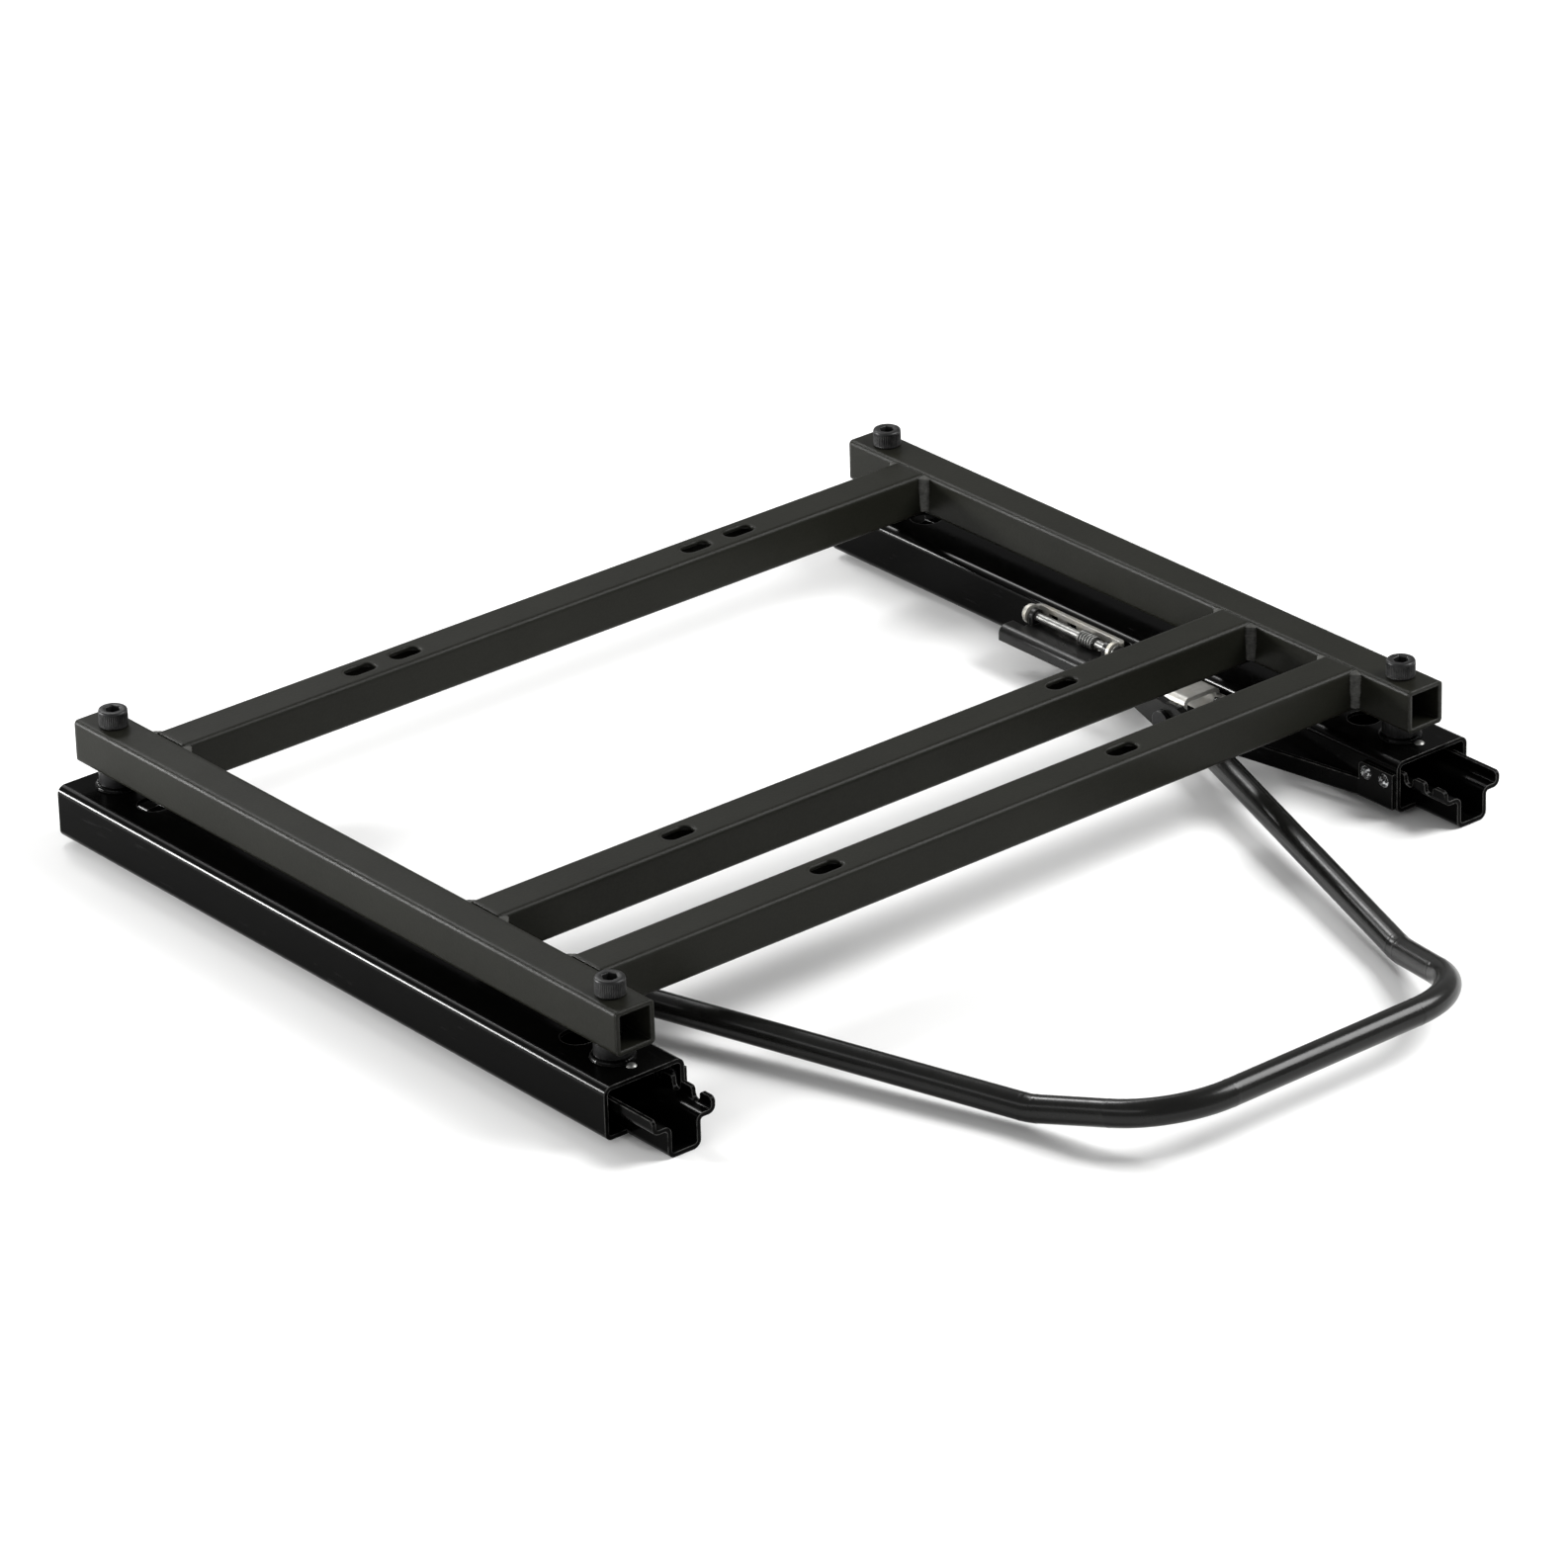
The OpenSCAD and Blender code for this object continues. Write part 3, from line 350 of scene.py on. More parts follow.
def rail_black(colour):
    """Gloss black dip paint: long ripples of the rolled sheet, small scuffs, glossier folds."""
    f = Finish("rail_black")
    scuff = f.span(f.grain(3 * MM, 6, 0.7, f.stretched((1, 0.12, 1))), 0.62, 0.74)
    scuffed, bare = tint((0.03, 0.03, 0.03)), tint((0.12, 0.12, 0.115))
    body = f.shades(f.mottle(30 * MM, 4), colour, 0.8, 1.25)
    body = f.over(body, scuff, 0.3, scuffed)
    body = f.over(body, f.edge_wear_and_sheen(0.9 * MM), 0.8, bare)
    rough = f.math("ADD", f.mottle(12 * MM, 4, 0.13, 0.20), f.math("MULTIPLY", scuff, 0.18))
    ripple = f.grain(6 * MM, 2, 0.5, f.stretched((1, 0.25, 1)))
    wave = f.relief(ripple, 0.06 * MM, 0.35, f.soft_edge(0.6 * MM))
    gloss = f.span(f.folds(), 0, 1, 0.027, 0.10)
    f.set(Base_Color=body, Roughness=rough, Specular_IOR_Level=gloss, Normal=wave)
    return f.material


def handle_black(colour):
    """Half gloss black paint on a drawn bar, rubbed by hands."""
    f = Finish("handle_black")
    rub = f.span(f.grain(12 * MM, 5, 0.6), 0.60, 0.78)
    rubbed = tint((0.03, 0.03, 0.028))
    body = f.shades(f.mottle(20 * MM, 4), colour, 0.8, 1.25)
    body = f.over(body, rub, 0.15, rubbed)
    peel = f.relief(f.grain(1.8 * MM, 2), 0.05 * MM, 0.4)
    f.set(Base_Color=body, Roughness=f.mottle(10 * MM, 5, 0.19, 0.27),
          Specular_IOR_Level=0.24, Normal=peel)
    return f.material


def screw_black(colour):
    """Black oxide with bare steel showing on rubbed edges."""
    f = Finish("screw_black")
    bare = tint((0.22, 0.22, 0.215))
    body = f.shades(f.mottle(2 * MM, 4), colour, 0.75, 1.3)
    body = f.over(body, f.edge_wear_and_sheen(0.6 * MM), 0.5, bare)
    pits = f.relief(f.grain(0.5 * MM, 2), 0.03 * MM, 0.4, f.soft_edge(0.3 * MM))
    f.set(Base_Color=body, Metallic=0.65, Roughness=f.mottle(1.5 * MM, 3, 0.34, 0.48),
          Normal=pits)
    return f.material


def pawl_black(colour):
    """Half gloss black on pressed sheet, rubbed paler along its folds."""
    f = Finish("pawl_black")
    rubbed = tint((0.14, 0.14, 0.13))
    body = f.shades(f.mottle(6 * MM, 4), colour, 0.75, 1.3)
    body = f.over(body, f.edge_wear_and_sheen(0.9 * MM), 0.6, rubbed)
    peel = f.relief(f.grain(1.5 * MM, 2), 0.05 * MM, 0.4, f.soft_edge(0.5 * MM))
    f.set(Base_Color=body, Roughness=f.mottle(8 * MM, 5, 0.26, 0.36),
          Specular_IOR_Level=0.2, Normal=peel)
    return f.material


def painted_rivet(colour):
    """Black paint on a rivet head, chipped through to bare steel; the bright chips also stand in
    for glints, a painted highlight.
    """
    f = Finish("painted_rivet")
    chip_and_glint = f.span(f.grain(1.6 * MM, 5, 0.6), 0.50, 0.58)
    paint = tint((0.006, 0.006, 0.006))
    # bare steel chips: partly chipped paint, partly painted glints
    f.set(Base_Color=f.blend(chip_and_glint, paint, tint(colour, 0.9)), Metallic=chip_and_glint,
          Roughness=f.span(chip_and_glint, 0, 1, 0.18, 0.30), Specular_IOR_Level=0.3,
          Normal=f.relief(chip_and_glint, -0.06 * MM, 0.6))
    return f.material


def zinc_plate(colour):
    """Zinc plating: pale patches, rolling lines and a faint yellow bloom."""
    f = Finish("zinc_plate")
    patch = f.crystals(2.2 * MM)
    lines = f.grain(0.8 * MM, 3, 0.5, f.stretched((1, 0.05, 1)))
    bloom = f.span(f.grain(9 * MM, 4), 0.45, 0.75, 0, 0.35)
    yellow = tint((0.62, 0.55, 0.38))
    body = f.shades(f.span(patch, 0, 1, 0.15, 0.6), colour, 0.8, 1.08)
    body = f.blend(bloom, body, yellow)
    rough = f.math("ADD", f.span(patch, 0, 1, 0.38, 0.48),
                   f.span(lines, NOISE_LOW, NOISE_HIGH, 0, 0.1))
    drawn = f.relief(lines, 0.02 * MM, 0.35, f.soft_edge(0.4 * MM))
    f.set(Base_Color=body, Metallic=0.55, Roughness=rough, Normal=drawn)
    return f.material


def bright_steel(colour):
    """Bare ground steel with fine turning lines and a thin film of oil."""
    f = Finish("bright_steel")
    lines = f.grain(0.6 * MM, 3, 0.5, f.stretched((1, 1, 0.1)))
    film = f.span(f.grain(4 * MM, 4), 0.35, 0.7)
    rough = f.math("ADD", f.span(film, 0, 1, 0.16, 0.26),
                   f.span(lines, NOISE_LOW, NOISE_HIGH, 0, 0.08))
    turned = f.relief(lines, 0.01 * MM, 0.3, f.soft_edge(0.3 * MM))
    f.set(Base_Color=f.shades(film, colour, 0.82, 1.06), Metallic=1.0, Roughness=rough,
          Normal=turned)
    return f.material


def dull_steel(colour):
    """Dull steel under a film of oil, with dark smears."""
    f = Finish("dull_steel")
    smear = f.span(f.grain(3 * MM, 4), 0.35, 0.7)
    pits = f.relief(f.grain(0.6 * MM, 3), 0.01 * MM, 0.3, f.soft_edge(0.3 * MM))
    f.set(Base_Color=f.shades(smear, colour, 0.6, 1.1), Metallic=0.8,
          Roughness=f.mottle(2 * MM, 3, 0.34, 0.46), Normal=pits)
    return f.material


def pale_floor(colour):
    """Matt studio floor with a trace of unevenness, kept pale far from the lights."""
    f = Finish("pale_floor")
    away = f.node("ShaderNodeVectorMath", operation="LENGTH")
    f.put(away.inputs[0], f.place)
    glow = f.span(away.outputs["Value"], 1.0, 3.5, 0.0, 0.7)
    f.set(Base_Color=f.shades(f.mottle(0.6, 3), colour, 0.985, 1.0),
          Roughness=0.85, Specular_IOR_Level=0.1,
          Emission_Color=tint((1, 1, 1)), Emission_Strength=glow)
    return f.material


# finish: how it is made, and the setting that holds its colour
FINISHES = {
    "frame_coat": (frame_coat, "frame_coat"),
    "weld_grey": (weld_grey, "weld_grey"),
    "rail_black": (rail_black, "rail_black"),
    "handle_black": (handle_black, "handle_black"),
    "screw_black": (screw_black, "screw_black"),
    "pawl_black": (pawl_black, "pawl_black"),
    "painted_rivet": (painted_rivet, "steel"),
    "zinc_plate": (zinc_plate, "zinc"),
    "bright_steel": (bright_steel, "steel"),
    "dull_steel": (dull_steel, "dull_steel"),
    "pale_floor": (pale_floor, "floor"),
}


def finish(name):
    """The finish of that name, made the first time it is asked for."""
    made = bpy.data.materials.get(name + "_finish")
    if made is None:
        make, colour = FINISHES[name]
        made = make(getattr(bpy.context.scene.seat_slide_colours, colour))
        made.name = name + "_finish"
    return made


def both(*kinds):
    """Names of the left and right solid of each kind."""
    return [f"{kind}_{side}" for kind in kinds for side, _ in SIDES]


def dress(*nodes, look=None):
    """Gives solids the finish of their material slot, or another look."""
    slots = {s["node"]: s["material_slot"] for s in frame["record"]["subparts"]}
    for name in nodes:
        solid = frame["nodes"][name]
        for slot in solid.material_slots:
            slot.material = finish(look or slots[name])


# ---------------------------------------------------------------- mesh tools

def piece(name, bm, body, slot, replaces=(), look=None):
    """Turns a mesh into a piece that rides on a body, with its slot's finish or another look."""
    bmesh.ops.recalc_face_normals(bm, faces=bm.faces)
    mesh = bpy.data.meshes.new(name)
    bm.to_mesh(mesh)
    bm.free()
    mesh.materials.append(finish(look or slot))
    obj = bpy.data.objects.new(name, mesh)
    bpy.context.scene.collection.objects.link(obj)
    mesh.shade_smooth()
    mesh.set_sharp_from_angle(angle=SHARP_ANGLE)
    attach(obj, body)
    if replaces:
        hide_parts(*replaces)
    return obj


def polar(radius, angle, z):
    """Point at this distance from an upright axis, at this angle and height."""
    return Vector((radius * math.cos(angle), radius * math.sin(angle), z))


def skin(bm, rings, looped=False):
    """Joins rings of points with quads, and caps both ends or joins the last ring to the first."""
    rows = [[bm.verts.new(p) for p in ring] for ring in rings]
    for a, b in zip(rows, rows[1:] + rows[:1] if looped else rows[1:]):
        n = len(a)
        for i in range(n):
            bm.faces.new((a[i], a[(i + 1) % n], b[(i + 1) % n], b[i]))
    if not looped:
        bm.faces.new(list(reversed(rows[0])))
        bm.faces.new(rows[-1])


def lathe(bm, profile, centre, count, looped=False):
    """Skin of a shape turned about an upright axis.

    The profile holds pairs of radius and height. A radius may be a function of the angle.
    """
    rings = []
    for radius, z in profile:
        ring = []
        for i in range(count):
            a = FULL_TURN * i / count
            ring.append(polar(radius(a) if callable(radius) else radius, a, z) + centre)
        rings.append(ring)
    skin(bm, rings, looped)


def round_wire(bm, points, radius, count=12):
    """Skin of a round wire along a route."""
    rings = []
    up = Vector((0, 0, 1))
    last = len(points) - 1
    for i, p in enumerate(points):
        way = (points[min(i + 1, last)] - points[max(i - 1, 0)]).normalized()
        side = way.cross(up).normalized()
        up = side.cross(way).normalized()
        ring = []
        for k in range(count):
            a = FULL_TURN * k / count
            ring.append(p + side * (radius * math.cos(a)) + up * (radius * math.sin(a)))
        rings.append(ring)
    skin(bm, rings)


# ---------------------------------------------------------------- pieces

class SEATSLIDE_OT_dress_rails(bpy.types.Operator):
    """Paints the lower and upper rails gloss black"""

    bl_idname = "seat_slide.dress_rails"
    bl_label = "Paint Rails"

    def execute(self, context):
        dress(*both("lower_rail", "upper_rail"))
        return {"FINISHED"}


class SEATSLIDE_OT_dress_rolling_set(bpy.types.Operator):
    """Gives the rollers and balls their bare steel"""

    bl_idname = "seat_slide.dress_rolling_set"
    bl_label = "Finish Rollers and Balls"

    def execute(self, context):
        dress(*both("rollers", "balls"))
        return {"FINISHED"}


class SEATSLIDE_OT_coat_tubes(bpy.types.Operator):
    """Powder coats the tubes of the seat frame"""

    bl_idname = "seat_slide.coat_tubes"
    bl_label = "Coat Frame Tubes"

    def execute(self, context):
        dress(*both("side_tube"), *CROSS_TUBES)
        return {"FINISHED"}


BEAD_RINGS, BEAD_POINTS = 64, 9             # rings along a bead, points across its face
BEAD_FOOT, BEAD_HEAD = 1.6 * MM, 0.6 * MM   # bare tube below and above a bead
BEAD_ROOT = 0.7 * MM                        # how far its root lies inside the corner
BEAD_TOE, BEAD_TOE_POWER = 0.35 * MM, 8     # how far its toes sink in, and how suddenly
BEAD_LEAN = 0.1 * MM                        # how far the side tube's edge of a ripple sags
BEAD_LEG = 0.92                             # plain part of the leg
BEAD_SWELL, BEAD_RIPPLE = 0.10, 0.06        # uneven and rippled parts of the leg
BEAD_TAPER = 0.28                           # how much heavier a bead is at its top
BEAD_HOLLOW = 0.20                          # how hollow its face is
BEAD_END, BEAD_END_RISE = 0.25, 14          # leg at the very ends, and how fast it grows there
BEAD_NOISE = (3.1, 5.0)                     # noise step between two beads, and along a bead


class SEATSLIDE_OT_lay_welds(bpy.types.Operator):
    """Lays a rippled fillet weld in each upright corner between the tubes"""

    bl_idname = "seat_slide.lay_welds"
    bl_label = "Lay Welds"

    def execute(self, context):
        sizes = context.scene.seat_slide_sizes
        bm = bmesh.new()
        for number, node in enumerate(CROSS_TUBES):
            low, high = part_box(node)
            for x, way in ((low.x, 1), (high.x, -1)):
                for y, out in ((low.y, -1), (high.y, 1)):
                    seed = number * 7 + way + out * 2
                    self.bead(bm, Vector((x, y, 0)), way, out, sizes, seed)
        piece("weld_fillets", bm, "carriage", "frame_coat", ["weld_beads"], "weld_grey")
        return {"FINISHED"}

    def bead(self, bm, corner, way, out, sizes, seed):
        """One bead up a corner; way and out point along the cross tube and away from it."""
        low, high = TUBE_LOW + BEAD_FOOT, TUBE_TOP - BEAD_HEAD
        rings = []
        for i in range(BEAD_RINGS + 1):
            t = i / BEAD_RINGS
            z = low + (high - low) * t
            spot = (seed * BEAD_NOISE[0], t * BEAD_NOISE[1], 0.0)
            swell = BEAD_SWELL * noise.noise(spot)
            ripple = BEAD_RIPPLE * abs(math.sin(math.pi * (z - low) / sizes.weld_ripple))
            ends = min(1.0, math.sqrt(min(t, 1 - t) * BEAD_END_RISE) + BEAD_END)
            taper = 1 + BEAD_TAPER * (t - 0.5)
            leg = sizes.weld_leg * (BEAD_LEG + swell + ripple) * ends * taper
            ring = [corner + Vector((-way * BEAD_ROOT, -out * BEAD_ROOT, z))]
            for k in range(BEAD_POINTS):
                a = QUARTER_TURN * k / (BEAD_POINTS - 1)
                along, away = math.sin(a), math.cos(a)
                face = leg * (1 - BEAD_HOLLOW + BEAD_HOLLOW * abs(math.cos(2 * a)))
                ring.append(corner + Vector((
                    way * (face * along - BEAD_TOE * away ** BEAD_TOE_POWER),
                    out * (face * away - BEAD_TOE * along ** BEAD_TOE_POWER),
                    z - BEAD_LEAN * away)))
            rings.append(ring)
        skin(bm, rings)


SHANK_R = 4 * MM           # radius of a screw's shank
TIP = 0.9 * MM             # how much slimmer its tip is
THREAD_RUN = 21 * MM       # length of the thread
THREAD_DEEP = 0.55 * MM
THREAD_ROOT, CREST_FROM, CREST_TO = 0.12, 0.5, 0.62   # places within one pitch
KNURL_DEEP, KNURL_END = 0.32 * MM, 0.05 * MM   # depth of a groove, and where it runs out
KNURL_POINTS = 4           # points round the head for each groove
SOCKET_DEEP = 4 * MM


class SEATSLIDE_OT_turn_screws(bpy.types.Operator):
    """Makes the four socket head screws, knurled and threaded"""

    bl_idname = "seat_slide.turn_screws"
    bl_label = "Turn Frame Screws"

    def execute(self, context):
        sizes = context.scene.seat_slide_sizes
        bm = bmesh.new()
        for seat in screw_seats():
            self.screw(bm, seat, sizes)
        piece("socket_screws", bm, "carriage", "screw_black", ["frame_screws"])
        return {"FINISHED"}

    def screw(self, bm, seat, sizes):
        """One screw, from its tip up to the floor of its socket."""
        r, h, flat = sizes.head_d / 2, sizes.head_h, sizes.socket_w / 2
        pitch = sizes.thread_pitch
        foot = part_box("frame_screws")[0].z - seat.z

        def knurl(depth):
            return lambda a: r - depth * (0.5 + 0.5 * math.cos(a * sizes.knurls))

        def hexagon(across):
            return lambda a: across / math.cos(a % (math.pi / 3) - math.pi / 6)

        profile = [(0.2 * MM, foot), (SHANK_R - TIP, foot)]
        z = foot
        while z < foot + THREAD_RUN:
            profile += [(SHANK_R - THREAD_DEEP, z + THREAD_ROOT * pitch),
                        (SHANK_R, z + CREST_FROM * pitch), (SHANK_R, z + CREST_TO * pitch)]
            z += pitch
        profile += [
            # plain shank and the head's underside
            (SHANK_R, z + 0.3 * MM), (SHANK_R, 0.0),
            (r - 0.5 * MM, 0.0), (r - 0.1 * MM, 0.4 * MM),
            # knurled side
            (knurl(KNURL_END), 0.7 * MM), (knurl(KNURL_DEEP), 1.1 * MM),
            (knurl(KNURL_DEEP), h - 1.5 * MM), (knurl(KNURL_END), h - 1.1 * MM),
            # rounded rim and flat top
            (r - 0.04 * MM, h - 0.8 * MM), (r - 0.32 * MM, h - 0.25 * MM), (r - 0.8 * MM, h),
            (flat / math.cos(math.pi / 6) + 0.45 * MM, h),
            # socket, down to the drill's cone
            (hexagon(flat + 0.12 * MM), h - 0.3 * MM), (hexagon(flat), h - 0.6 * MM),
            (hexagon(flat), h - SOCKET_DEEP), (flat * 0.86, h - SOCKET_DEEP - 0.1 * MM),
            (0.3 * MM, h - SOCKET_DEEP - 0.9 * MM),
        ]
        lathe(bm, profile, seat, sizes.knurls * KNURL_POINTS)


def screw_seats():
    """Where the four screw heads stand on the tubes."""
    low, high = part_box("frame_screws")
    front, rear = low.y + SOLID_HEAD_R, high.y - SOLID_HEAD_R
    return [Vector((side * RAIL_X, y, TUBE_TOP)) for _, side in SIDES for y in (front, rear)]


BOSS_POINTS = 56                        # points round a boss
BOSS_BORE_R, BOSS_SINK_R = 4.1 * MM, 4.6 * MM
RING_STEPS, RING_POINTS = 120, 8        # sections round a boss weld, points across its face
RING_LEG = 1.7 * MM
RING_WAVES = 18                         # pairs of ripples round a boss weld
RING_RIPPLE, RING_SWELL = 0.10, 0.12    # rippled and uneven parts of the leg
RING_ROOT = (0.4 * MM, 0.2 * MM)        # how far its root lies in the boss and in the rail
RING_TOE = (0.25 * MM, 0.2 * MM)        # how far its toes sink into the boss and the rail
RING_TOE_POWER = 6                      # how suddenly the toes sink in
RING_NOISE = (5.0, 2)                   # noise step between two welds, and radius round one


class SEATSLIDE_OT_turn_bosses(bpy.types.Operator):
    """Makes the threaded bosses with the ring of weld at their foot"""

    bl_idname = "seat_slide.turn_bosses"
    bl_label = "Turn Bosses"

    def execute(self, context):
        sizes = context.scene.seat_slide_sizes
        bm = bmesh.new()
        weld = bmesh.new()
        r, h = sizes.boss_d / 2, TUBE_LOW - RAIL_TOP
        profile = [
            (BOSS_BORE_R, 0.0), (r - 0.4 * MM, 0.0), (r, 0.4 * MM), (r, h - 0.6 * MM),
            (r - 0.6 * MM, h), (BOSS_SINK_R, h), (BOSS_BORE_R, h - 0.5 * MM),
            (BOSS_BORE_R, 0.02 * MM)]
        for number, seat in enumerate(screw_seats()):
            foot = Vector((seat.x, seat.y, RAIL_TOP))
            lathe(bm, profile, foot, BOSS_POINTS, looped=True)
            self.ring(weld, foot, r, number)
        piece("turned_bosses", bm, "carriage", "screw_black", ["frame_bosses"])
        piece("boss_welds", weld, "carriage", "rail_black")
        return {"FINISHED"}

    def ring(self, bm, foot, r, number):
        """The weld round one boss."""
        rings = []
        for i in range(RING_STEPS):
            a = FULL_TURN * i / RING_STEPS
            ripple = RING_RIPPLE * abs(math.sin(a * RING_WAVES))
            spot = (number * RING_NOISE[0],
                    math.cos(a) * RING_NOISE[1], math.sin(a) * RING_NOISE[1])
            leg = RING_LEG * (1 + ripple + RING_SWELL * noise.noise(spot))
            ring = [foot + polar(r - RING_ROOT[0], a, -RING_ROOT[1])]
            for k in range(RING_POINTS):
                b = QUARTER_TURN * k / (RING_POINTS - 1)
                out, up = math.cos(b), math.sin(b)
                ring.append(foot + polar(r + leg * out - RING_TOE[0] * up ** RING_TOE_POWER, a,
                                         leg * up - RING_TOE[1] * out ** RING_TOE_POWER))
            rings.append(ring)
        skin(bm, rings, looped=True)


class SEATSLIDE_OT_dress_rivets(bpy.types.Operator):
    """Gives the stop rivets dull steel and the plate rivets chipped paint, whose bare specks are
    also painted glints
    """

    bl_idname = "seat_slide.dress_rivets"
    bl_label = "Finish Rivets"

    def execute(self, context):
        dress("stop_rivets", look="dull_steel")
        dress("plate_rivets", look="painted_rivet")
        return {"FINISHED"}


class SEATSLIDE_OT_dress_locks(bpy.types.Operator):
    """Finishes the lock plates, pins and pawls, and the handle's brackets, straps and pins"""

    bl_idname = "seat_slide.dress_locks"
    bl_label = "Finish Locks and Brackets"

    def execute(self, context):
        dress(*both("lock_plate", "handle_bracket", "handle_strap", "handle_pin"))
        dress(*both("lock_pin"), look="dull_steel")
        dress(*both("lock_pawl"), look="pawl_black")
        return {"FINISHED"}


COIL_STEPS = 40          # points along each turn of a spring
PART_TURN = 0.25         # a coil stops this much short of a whole turn
FOOT_STEPS, LEG_STEPS, OVERLAP_STEPS = 8, 6, 8   # points along the straight legs and the overlap
FOOT_LIFT = 0.2          # height of the foot's middle above the solid's lowest point, in wires
FOOT_INSET = 2.15 * MM   # the foot stands this far inside the outer side of its lock plate
LEG_REACH = 5.4 * MM     # length of the leg that presses on the pawl
LEG_OVERLAP = 0.12       # part of a turn where that leg lies on the coil


class SEATSLIDE_OT_wind_springs(bpy.types.Operator):
    """Winds the torsion spring of each lock, with one leg that swings with the pawl"""

    bl_idname = "seat_slide.wind_springs"
    bl_label = "Wind Springs"

    def execute(self, context):
        sizes = context.scene.seat_slide_sizes
        for name, side in SIDES:
            self.spring(name, side, sizes.wire_d, sizes.spring_turns - PART_TURN)
        return {"FINISHED"}

    def spring(self, name, side, wire, turns):
        """One spring: the coil with its foot on the lock plate, and the leg on the pawl."""
        low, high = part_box(f"lock_spring_{name}")
        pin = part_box(f"lock_pin_{name}")
        axis_x, axis_z = (pin[0].x + pin[1].x) / 2, (pin[0].z + pin[1].z) / 2
        r = high.z - axis_z - wire / 2
        first, last = low.y + wire / 2, high.y - wire / 2

        def wound(turn):
            a = math.pi - turn * FULL_TURN
            return Vector((axis_x - side * r * math.cos(a),
                           first + (last - first) * turn / turns, axis_z + r * math.sin(a)))

        count = int(turns * COIL_STEPS)
        coil = [wound(turns * k / count) for k in range(count + 1)]
        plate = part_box(f"lock_plate_{name}")
        wall = (plate[1].x if side > 0 else plate[0].x) - side * (FOOT_INSET + wire / 2)
        foot = Vector((wall, first, low.z + wire * FOOT_LIFT))
        rise = [foot.lerp(coil[0], k / FOOT_STEPS) for k in range(FOOT_STEPS)]
        bm = bmesh.new()
        round_wire(bm, rise + coil, wire / 2)
        piece(f"spring_coil_{name}", bm, "carriage", "bright_steel", [f"lock_spring_{name}"],
              "dull_steel")

        start = [wound(turns - LEG_OVERLAP + LEG_OVERLAP * k / OVERLAP_STEPS)
                 for k in range(OVERLAP_STEPS + 1)]
        end = Vector((coil[-1].x + side * LEG_REACH, last, coil[-1].z))
        leg = [coil[-1].lerp(end, k / LEG_STEPS) for k in range(1, LEG_STEPS + 1)]
        bm = bmesh.new()
        round_wire(bm, start + leg, wire / 2)
        piece(f"spring_leg_{name}", bm, f"pawl_{name}", "bright_steel", look="dull_steel")


class SEATSLIDE_OT_dress_handle(bpy.types.Operator):
    """Paints the bent release bar"""

    bl_idname = "seat_slide.dress_handle"
    bl_label = "Paint Release Handle"

    def execute(self, context):
        dress("release_handle")
        return {"FINISHED"}


FLOOR_HALF, FLOOR_CELLS = 12, 8     # half the floor's side in metres, and its cells
FLOOR_DROP = 0.3 * MM               # gap between the floor and the rails
SENSOR_MM, VIEW_END = 36, 60        # width of the camera's sensor, and how far it sees
PART_MIDDLE = (0, 0, 0.03)          # where most lights point
FAR_FLOOR = (0.6, 2.4, 0)           # where the far light points
LIGHTS = (
    # name, place, width, depth, setting of its power, what it points at
    ("rear_light", (-1.65, 1.65, 0.45), 0.5, 0.3, "rear", PART_MIDDLE),
    ("roof_light", (0.33, 1.5, 1.53), 0.4, 0.4, "roof", PART_MIDDLE),
    ("back_light", (-0.05, 1.9, 0.85), 0.5, 0.3, "back", PART_MIDDLE),
    ("front_light", (1.2, -0.88, 1.4), 1.0, 1.0, "front", PART_MIDDLE),
    ("side_light", (-1.1, -0.1, 0.75), 1.1, 0.25, "side", PART_MIDDLE),
    ("far_light", (0.6, 2.6, 2.4), 2.4, 1.0, "far", FAR_FLOOR),
)


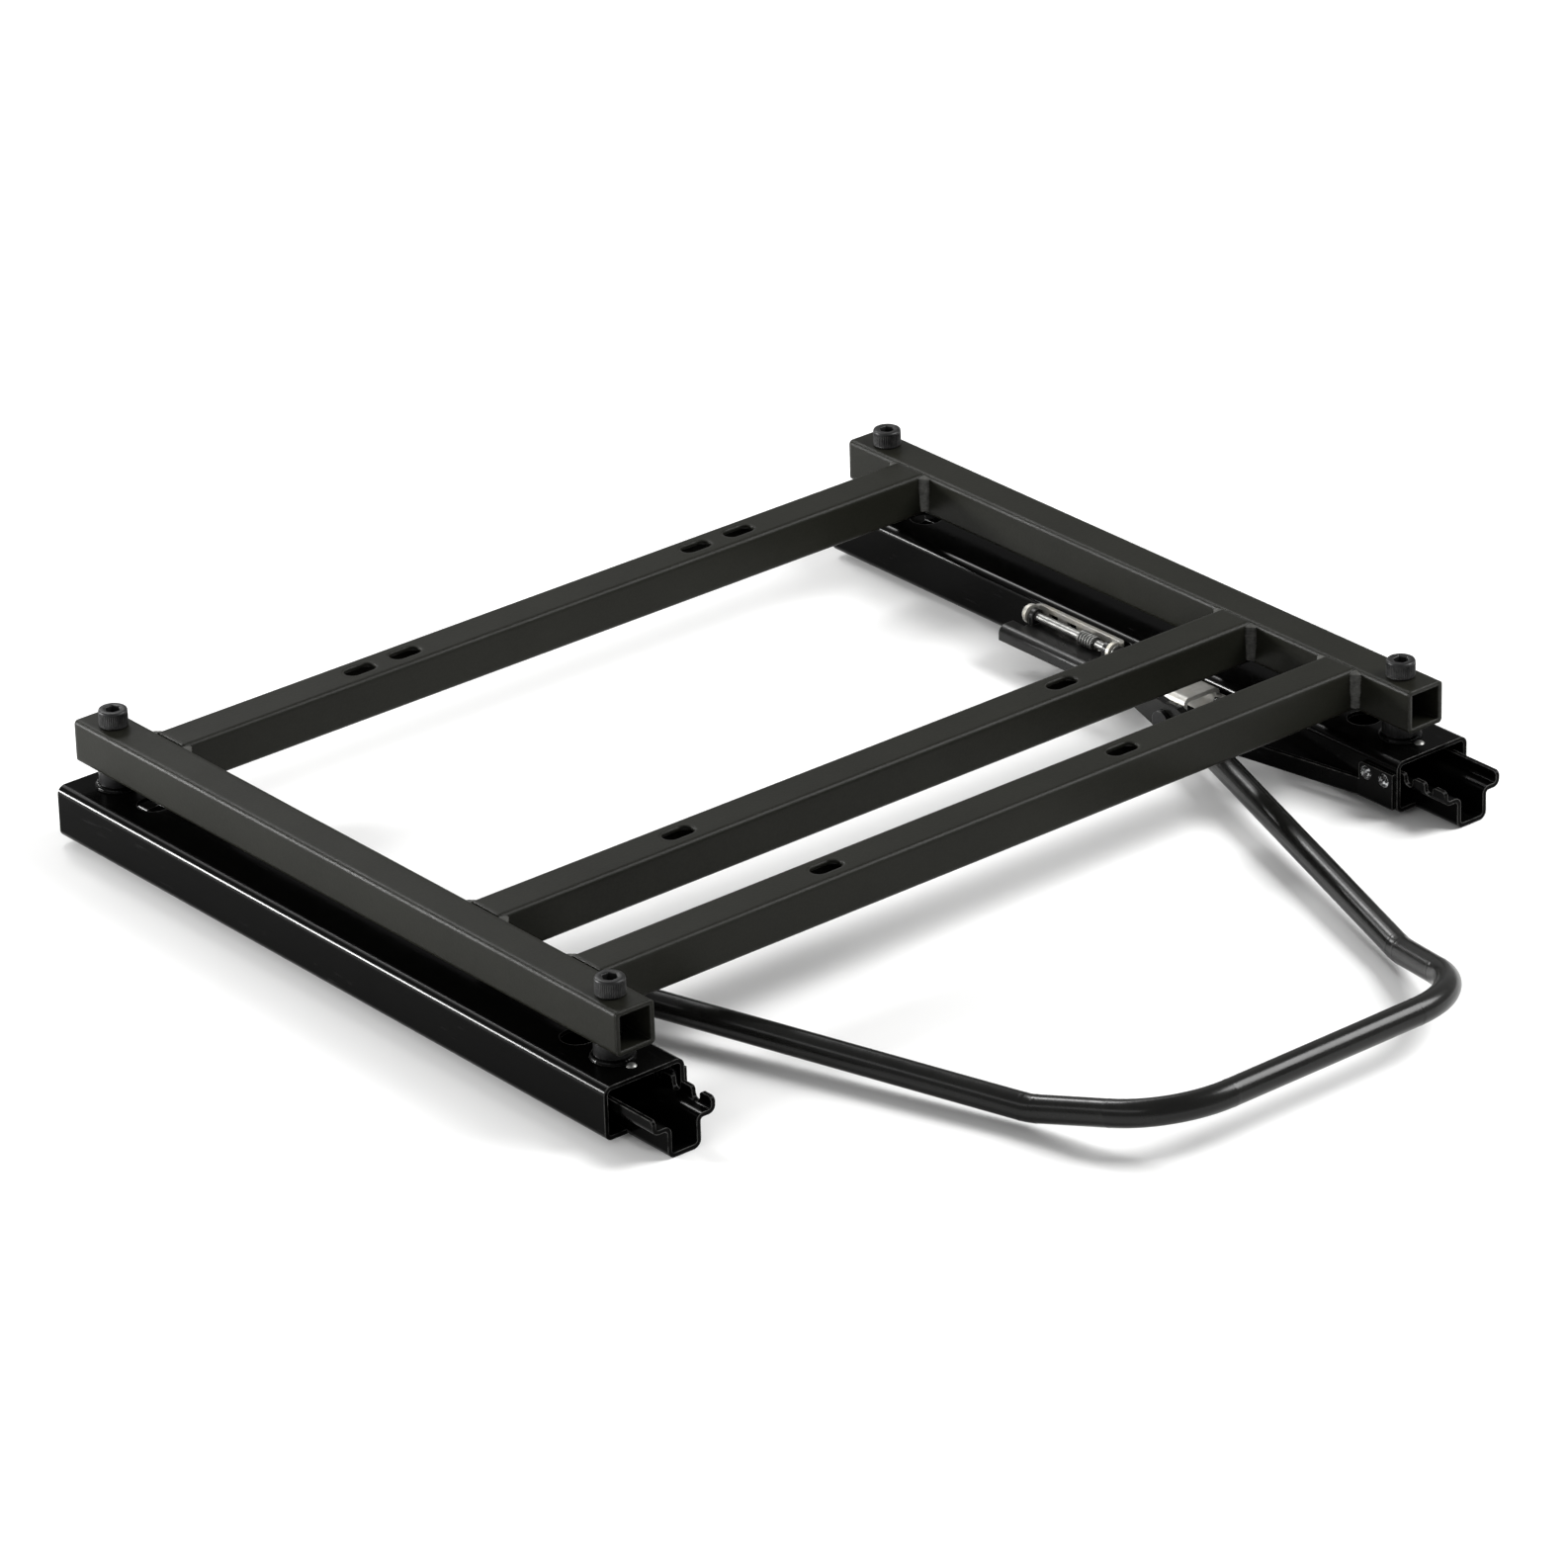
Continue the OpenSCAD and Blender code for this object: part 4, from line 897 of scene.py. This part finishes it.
class SEATSLIDE_OT_set_stage(bpy.types.Operator):
    """Lays the pale floor and sets the camera and the soft lights"""

    bl_idname = "seat_slide.set_stage"
    bl_label = "Set Stage"

    def execute(self, context):
        scene = context.scene
        stage = scene.seat_slide_stage
        bm = bmesh.new()
        bmesh.ops.create_grid(bm, x_segments=FLOOR_CELLS, y_segments=FLOOR_CELLS, size=FLOOR_HALF)
        mesh = bpy.data.meshes.new("floor")
        bm.to_mesh(mesh)
        bm.free()
        mesh.materials.append(finish("pale_floor"))
        floor = bpy.data.objects.new("floor", mesh)
        floor.location.z = -FLOOR_DROP
        scene.collection.objects.link(floor)

        camera = bpy.data.objects.new("camera", bpy.data.cameras.new("camera"))
        camera.data.lens = stage.lens
        camera.data.sensor_width = SENSOR_MM
        camera.data.clip_end = VIEW_END
        camera.location = stage.place
        camera.rotation_euler = stage.turn
        scene.collection.objects.link(camera)
        scene.camera = camera

        for name, place, wide, deep, power, at in LIGHTS:
            self.light(scene, name, place, wide, deep, getattr(stage, power), at)

        world = bpy.data.worlds.new("room")
        world.use_nodes = True
        back = world.node_tree.nodes["Background"]
        back.inputs["Color"].default_value = (1.0, 1.0, 1.0, 1.0)
        back.inputs["Strength"].default_value = stage.room
        scene.world = world
        scene.view_settings.view_transform = "Standard"
        return {"FINISHED"}

    def light(self, scene, name, place, wide, deep, power, at):
        """One soft light that points at a spot."""
        lamp = bpy.data.lights.new(name, "AREA")
        lamp.shape = "RECTANGLE"
        lamp.size, lamp.size_y = wide, deep
        lamp.energy = power
        obj = bpy.data.objects.new(name, lamp)
        obj.location = place
        aim = Vector(at) - Vector(place)
        obj.rotation_euler = aim.to_track_quat("-Z", "Y").to_euler()
        scene.collection.objects.link(obj)


STEPS = (
    SEATSLIDE_OT_dress_rails,
    SEATSLIDE_OT_dress_rolling_set,
    SEATSLIDE_OT_coat_tubes,
    SEATSLIDE_OT_lay_welds,
    SEATSLIDE_OT_turn_screws,
    SEATSLIDE_OT_turn_bosses,
    SEATSLIDE_OT_dress_rivets,
    SEATSLIDE_OT_dress_locks,
    SEATSLIDE_OT_wind_springs,
    SEATSLIDE_OT_dress_handle,
    SEATSLIDE_OT_set_stage,
)


class SEATSLIDE_PT_panel(bpy.types.Panel):
    """Lists the steps that make the seat slide"""

    bl_idname = "SEATSLIDE_PT_panel"
    bl_label = "Seat Slide"
    bl_space_type = "VIEW_3D"
    bl_region_type = "UI"
    bl_category = "Seat Slide"

    def draw(self, context):
        for step in STEPS:
            self.layout.operator(step.bl_idname)
        for group in ("sizes", "colours", "stage"):
            settings = getattr(context.scene, "seat_slide_" + group)
            box = self.layout.box()
            for name in settings.__annotations__:
                box.prop(settings, name)


CLASSES = (SeatSlideSizes, SeatSlideColours, SeatSlideStage) + STEPS + (SEATSLIDE_PT_panel,)


def register():
    for cls in CLASSES:
        bpy.utils.register_class(cls)
    bpy.types.Scene.seat_slide_sizes = PointerProperty(type=SeatSlideSizes)
    bpy.types.Scene.seat_slide_colours = PointerProperty(type=SeatSlideColours)
    bpy.types.Scene.seat_slide_stage = PointerProperty(type=SeatSlideStage)


def unregister():
    for name in ("sizes", "colours", "stage"):
        delattr(bpy.types.Scene, "seat_slide_" + name)
    for cls in reversed(CLASSES):
        bpy.utils.unregister_class(cls)


def main():
    register()
    for step in STEPS:
        group, name = step.bl_idname.split(".")
        getattr(getattr(bpy.ops, group), name)()


if __name__ == "__main__":
    main()
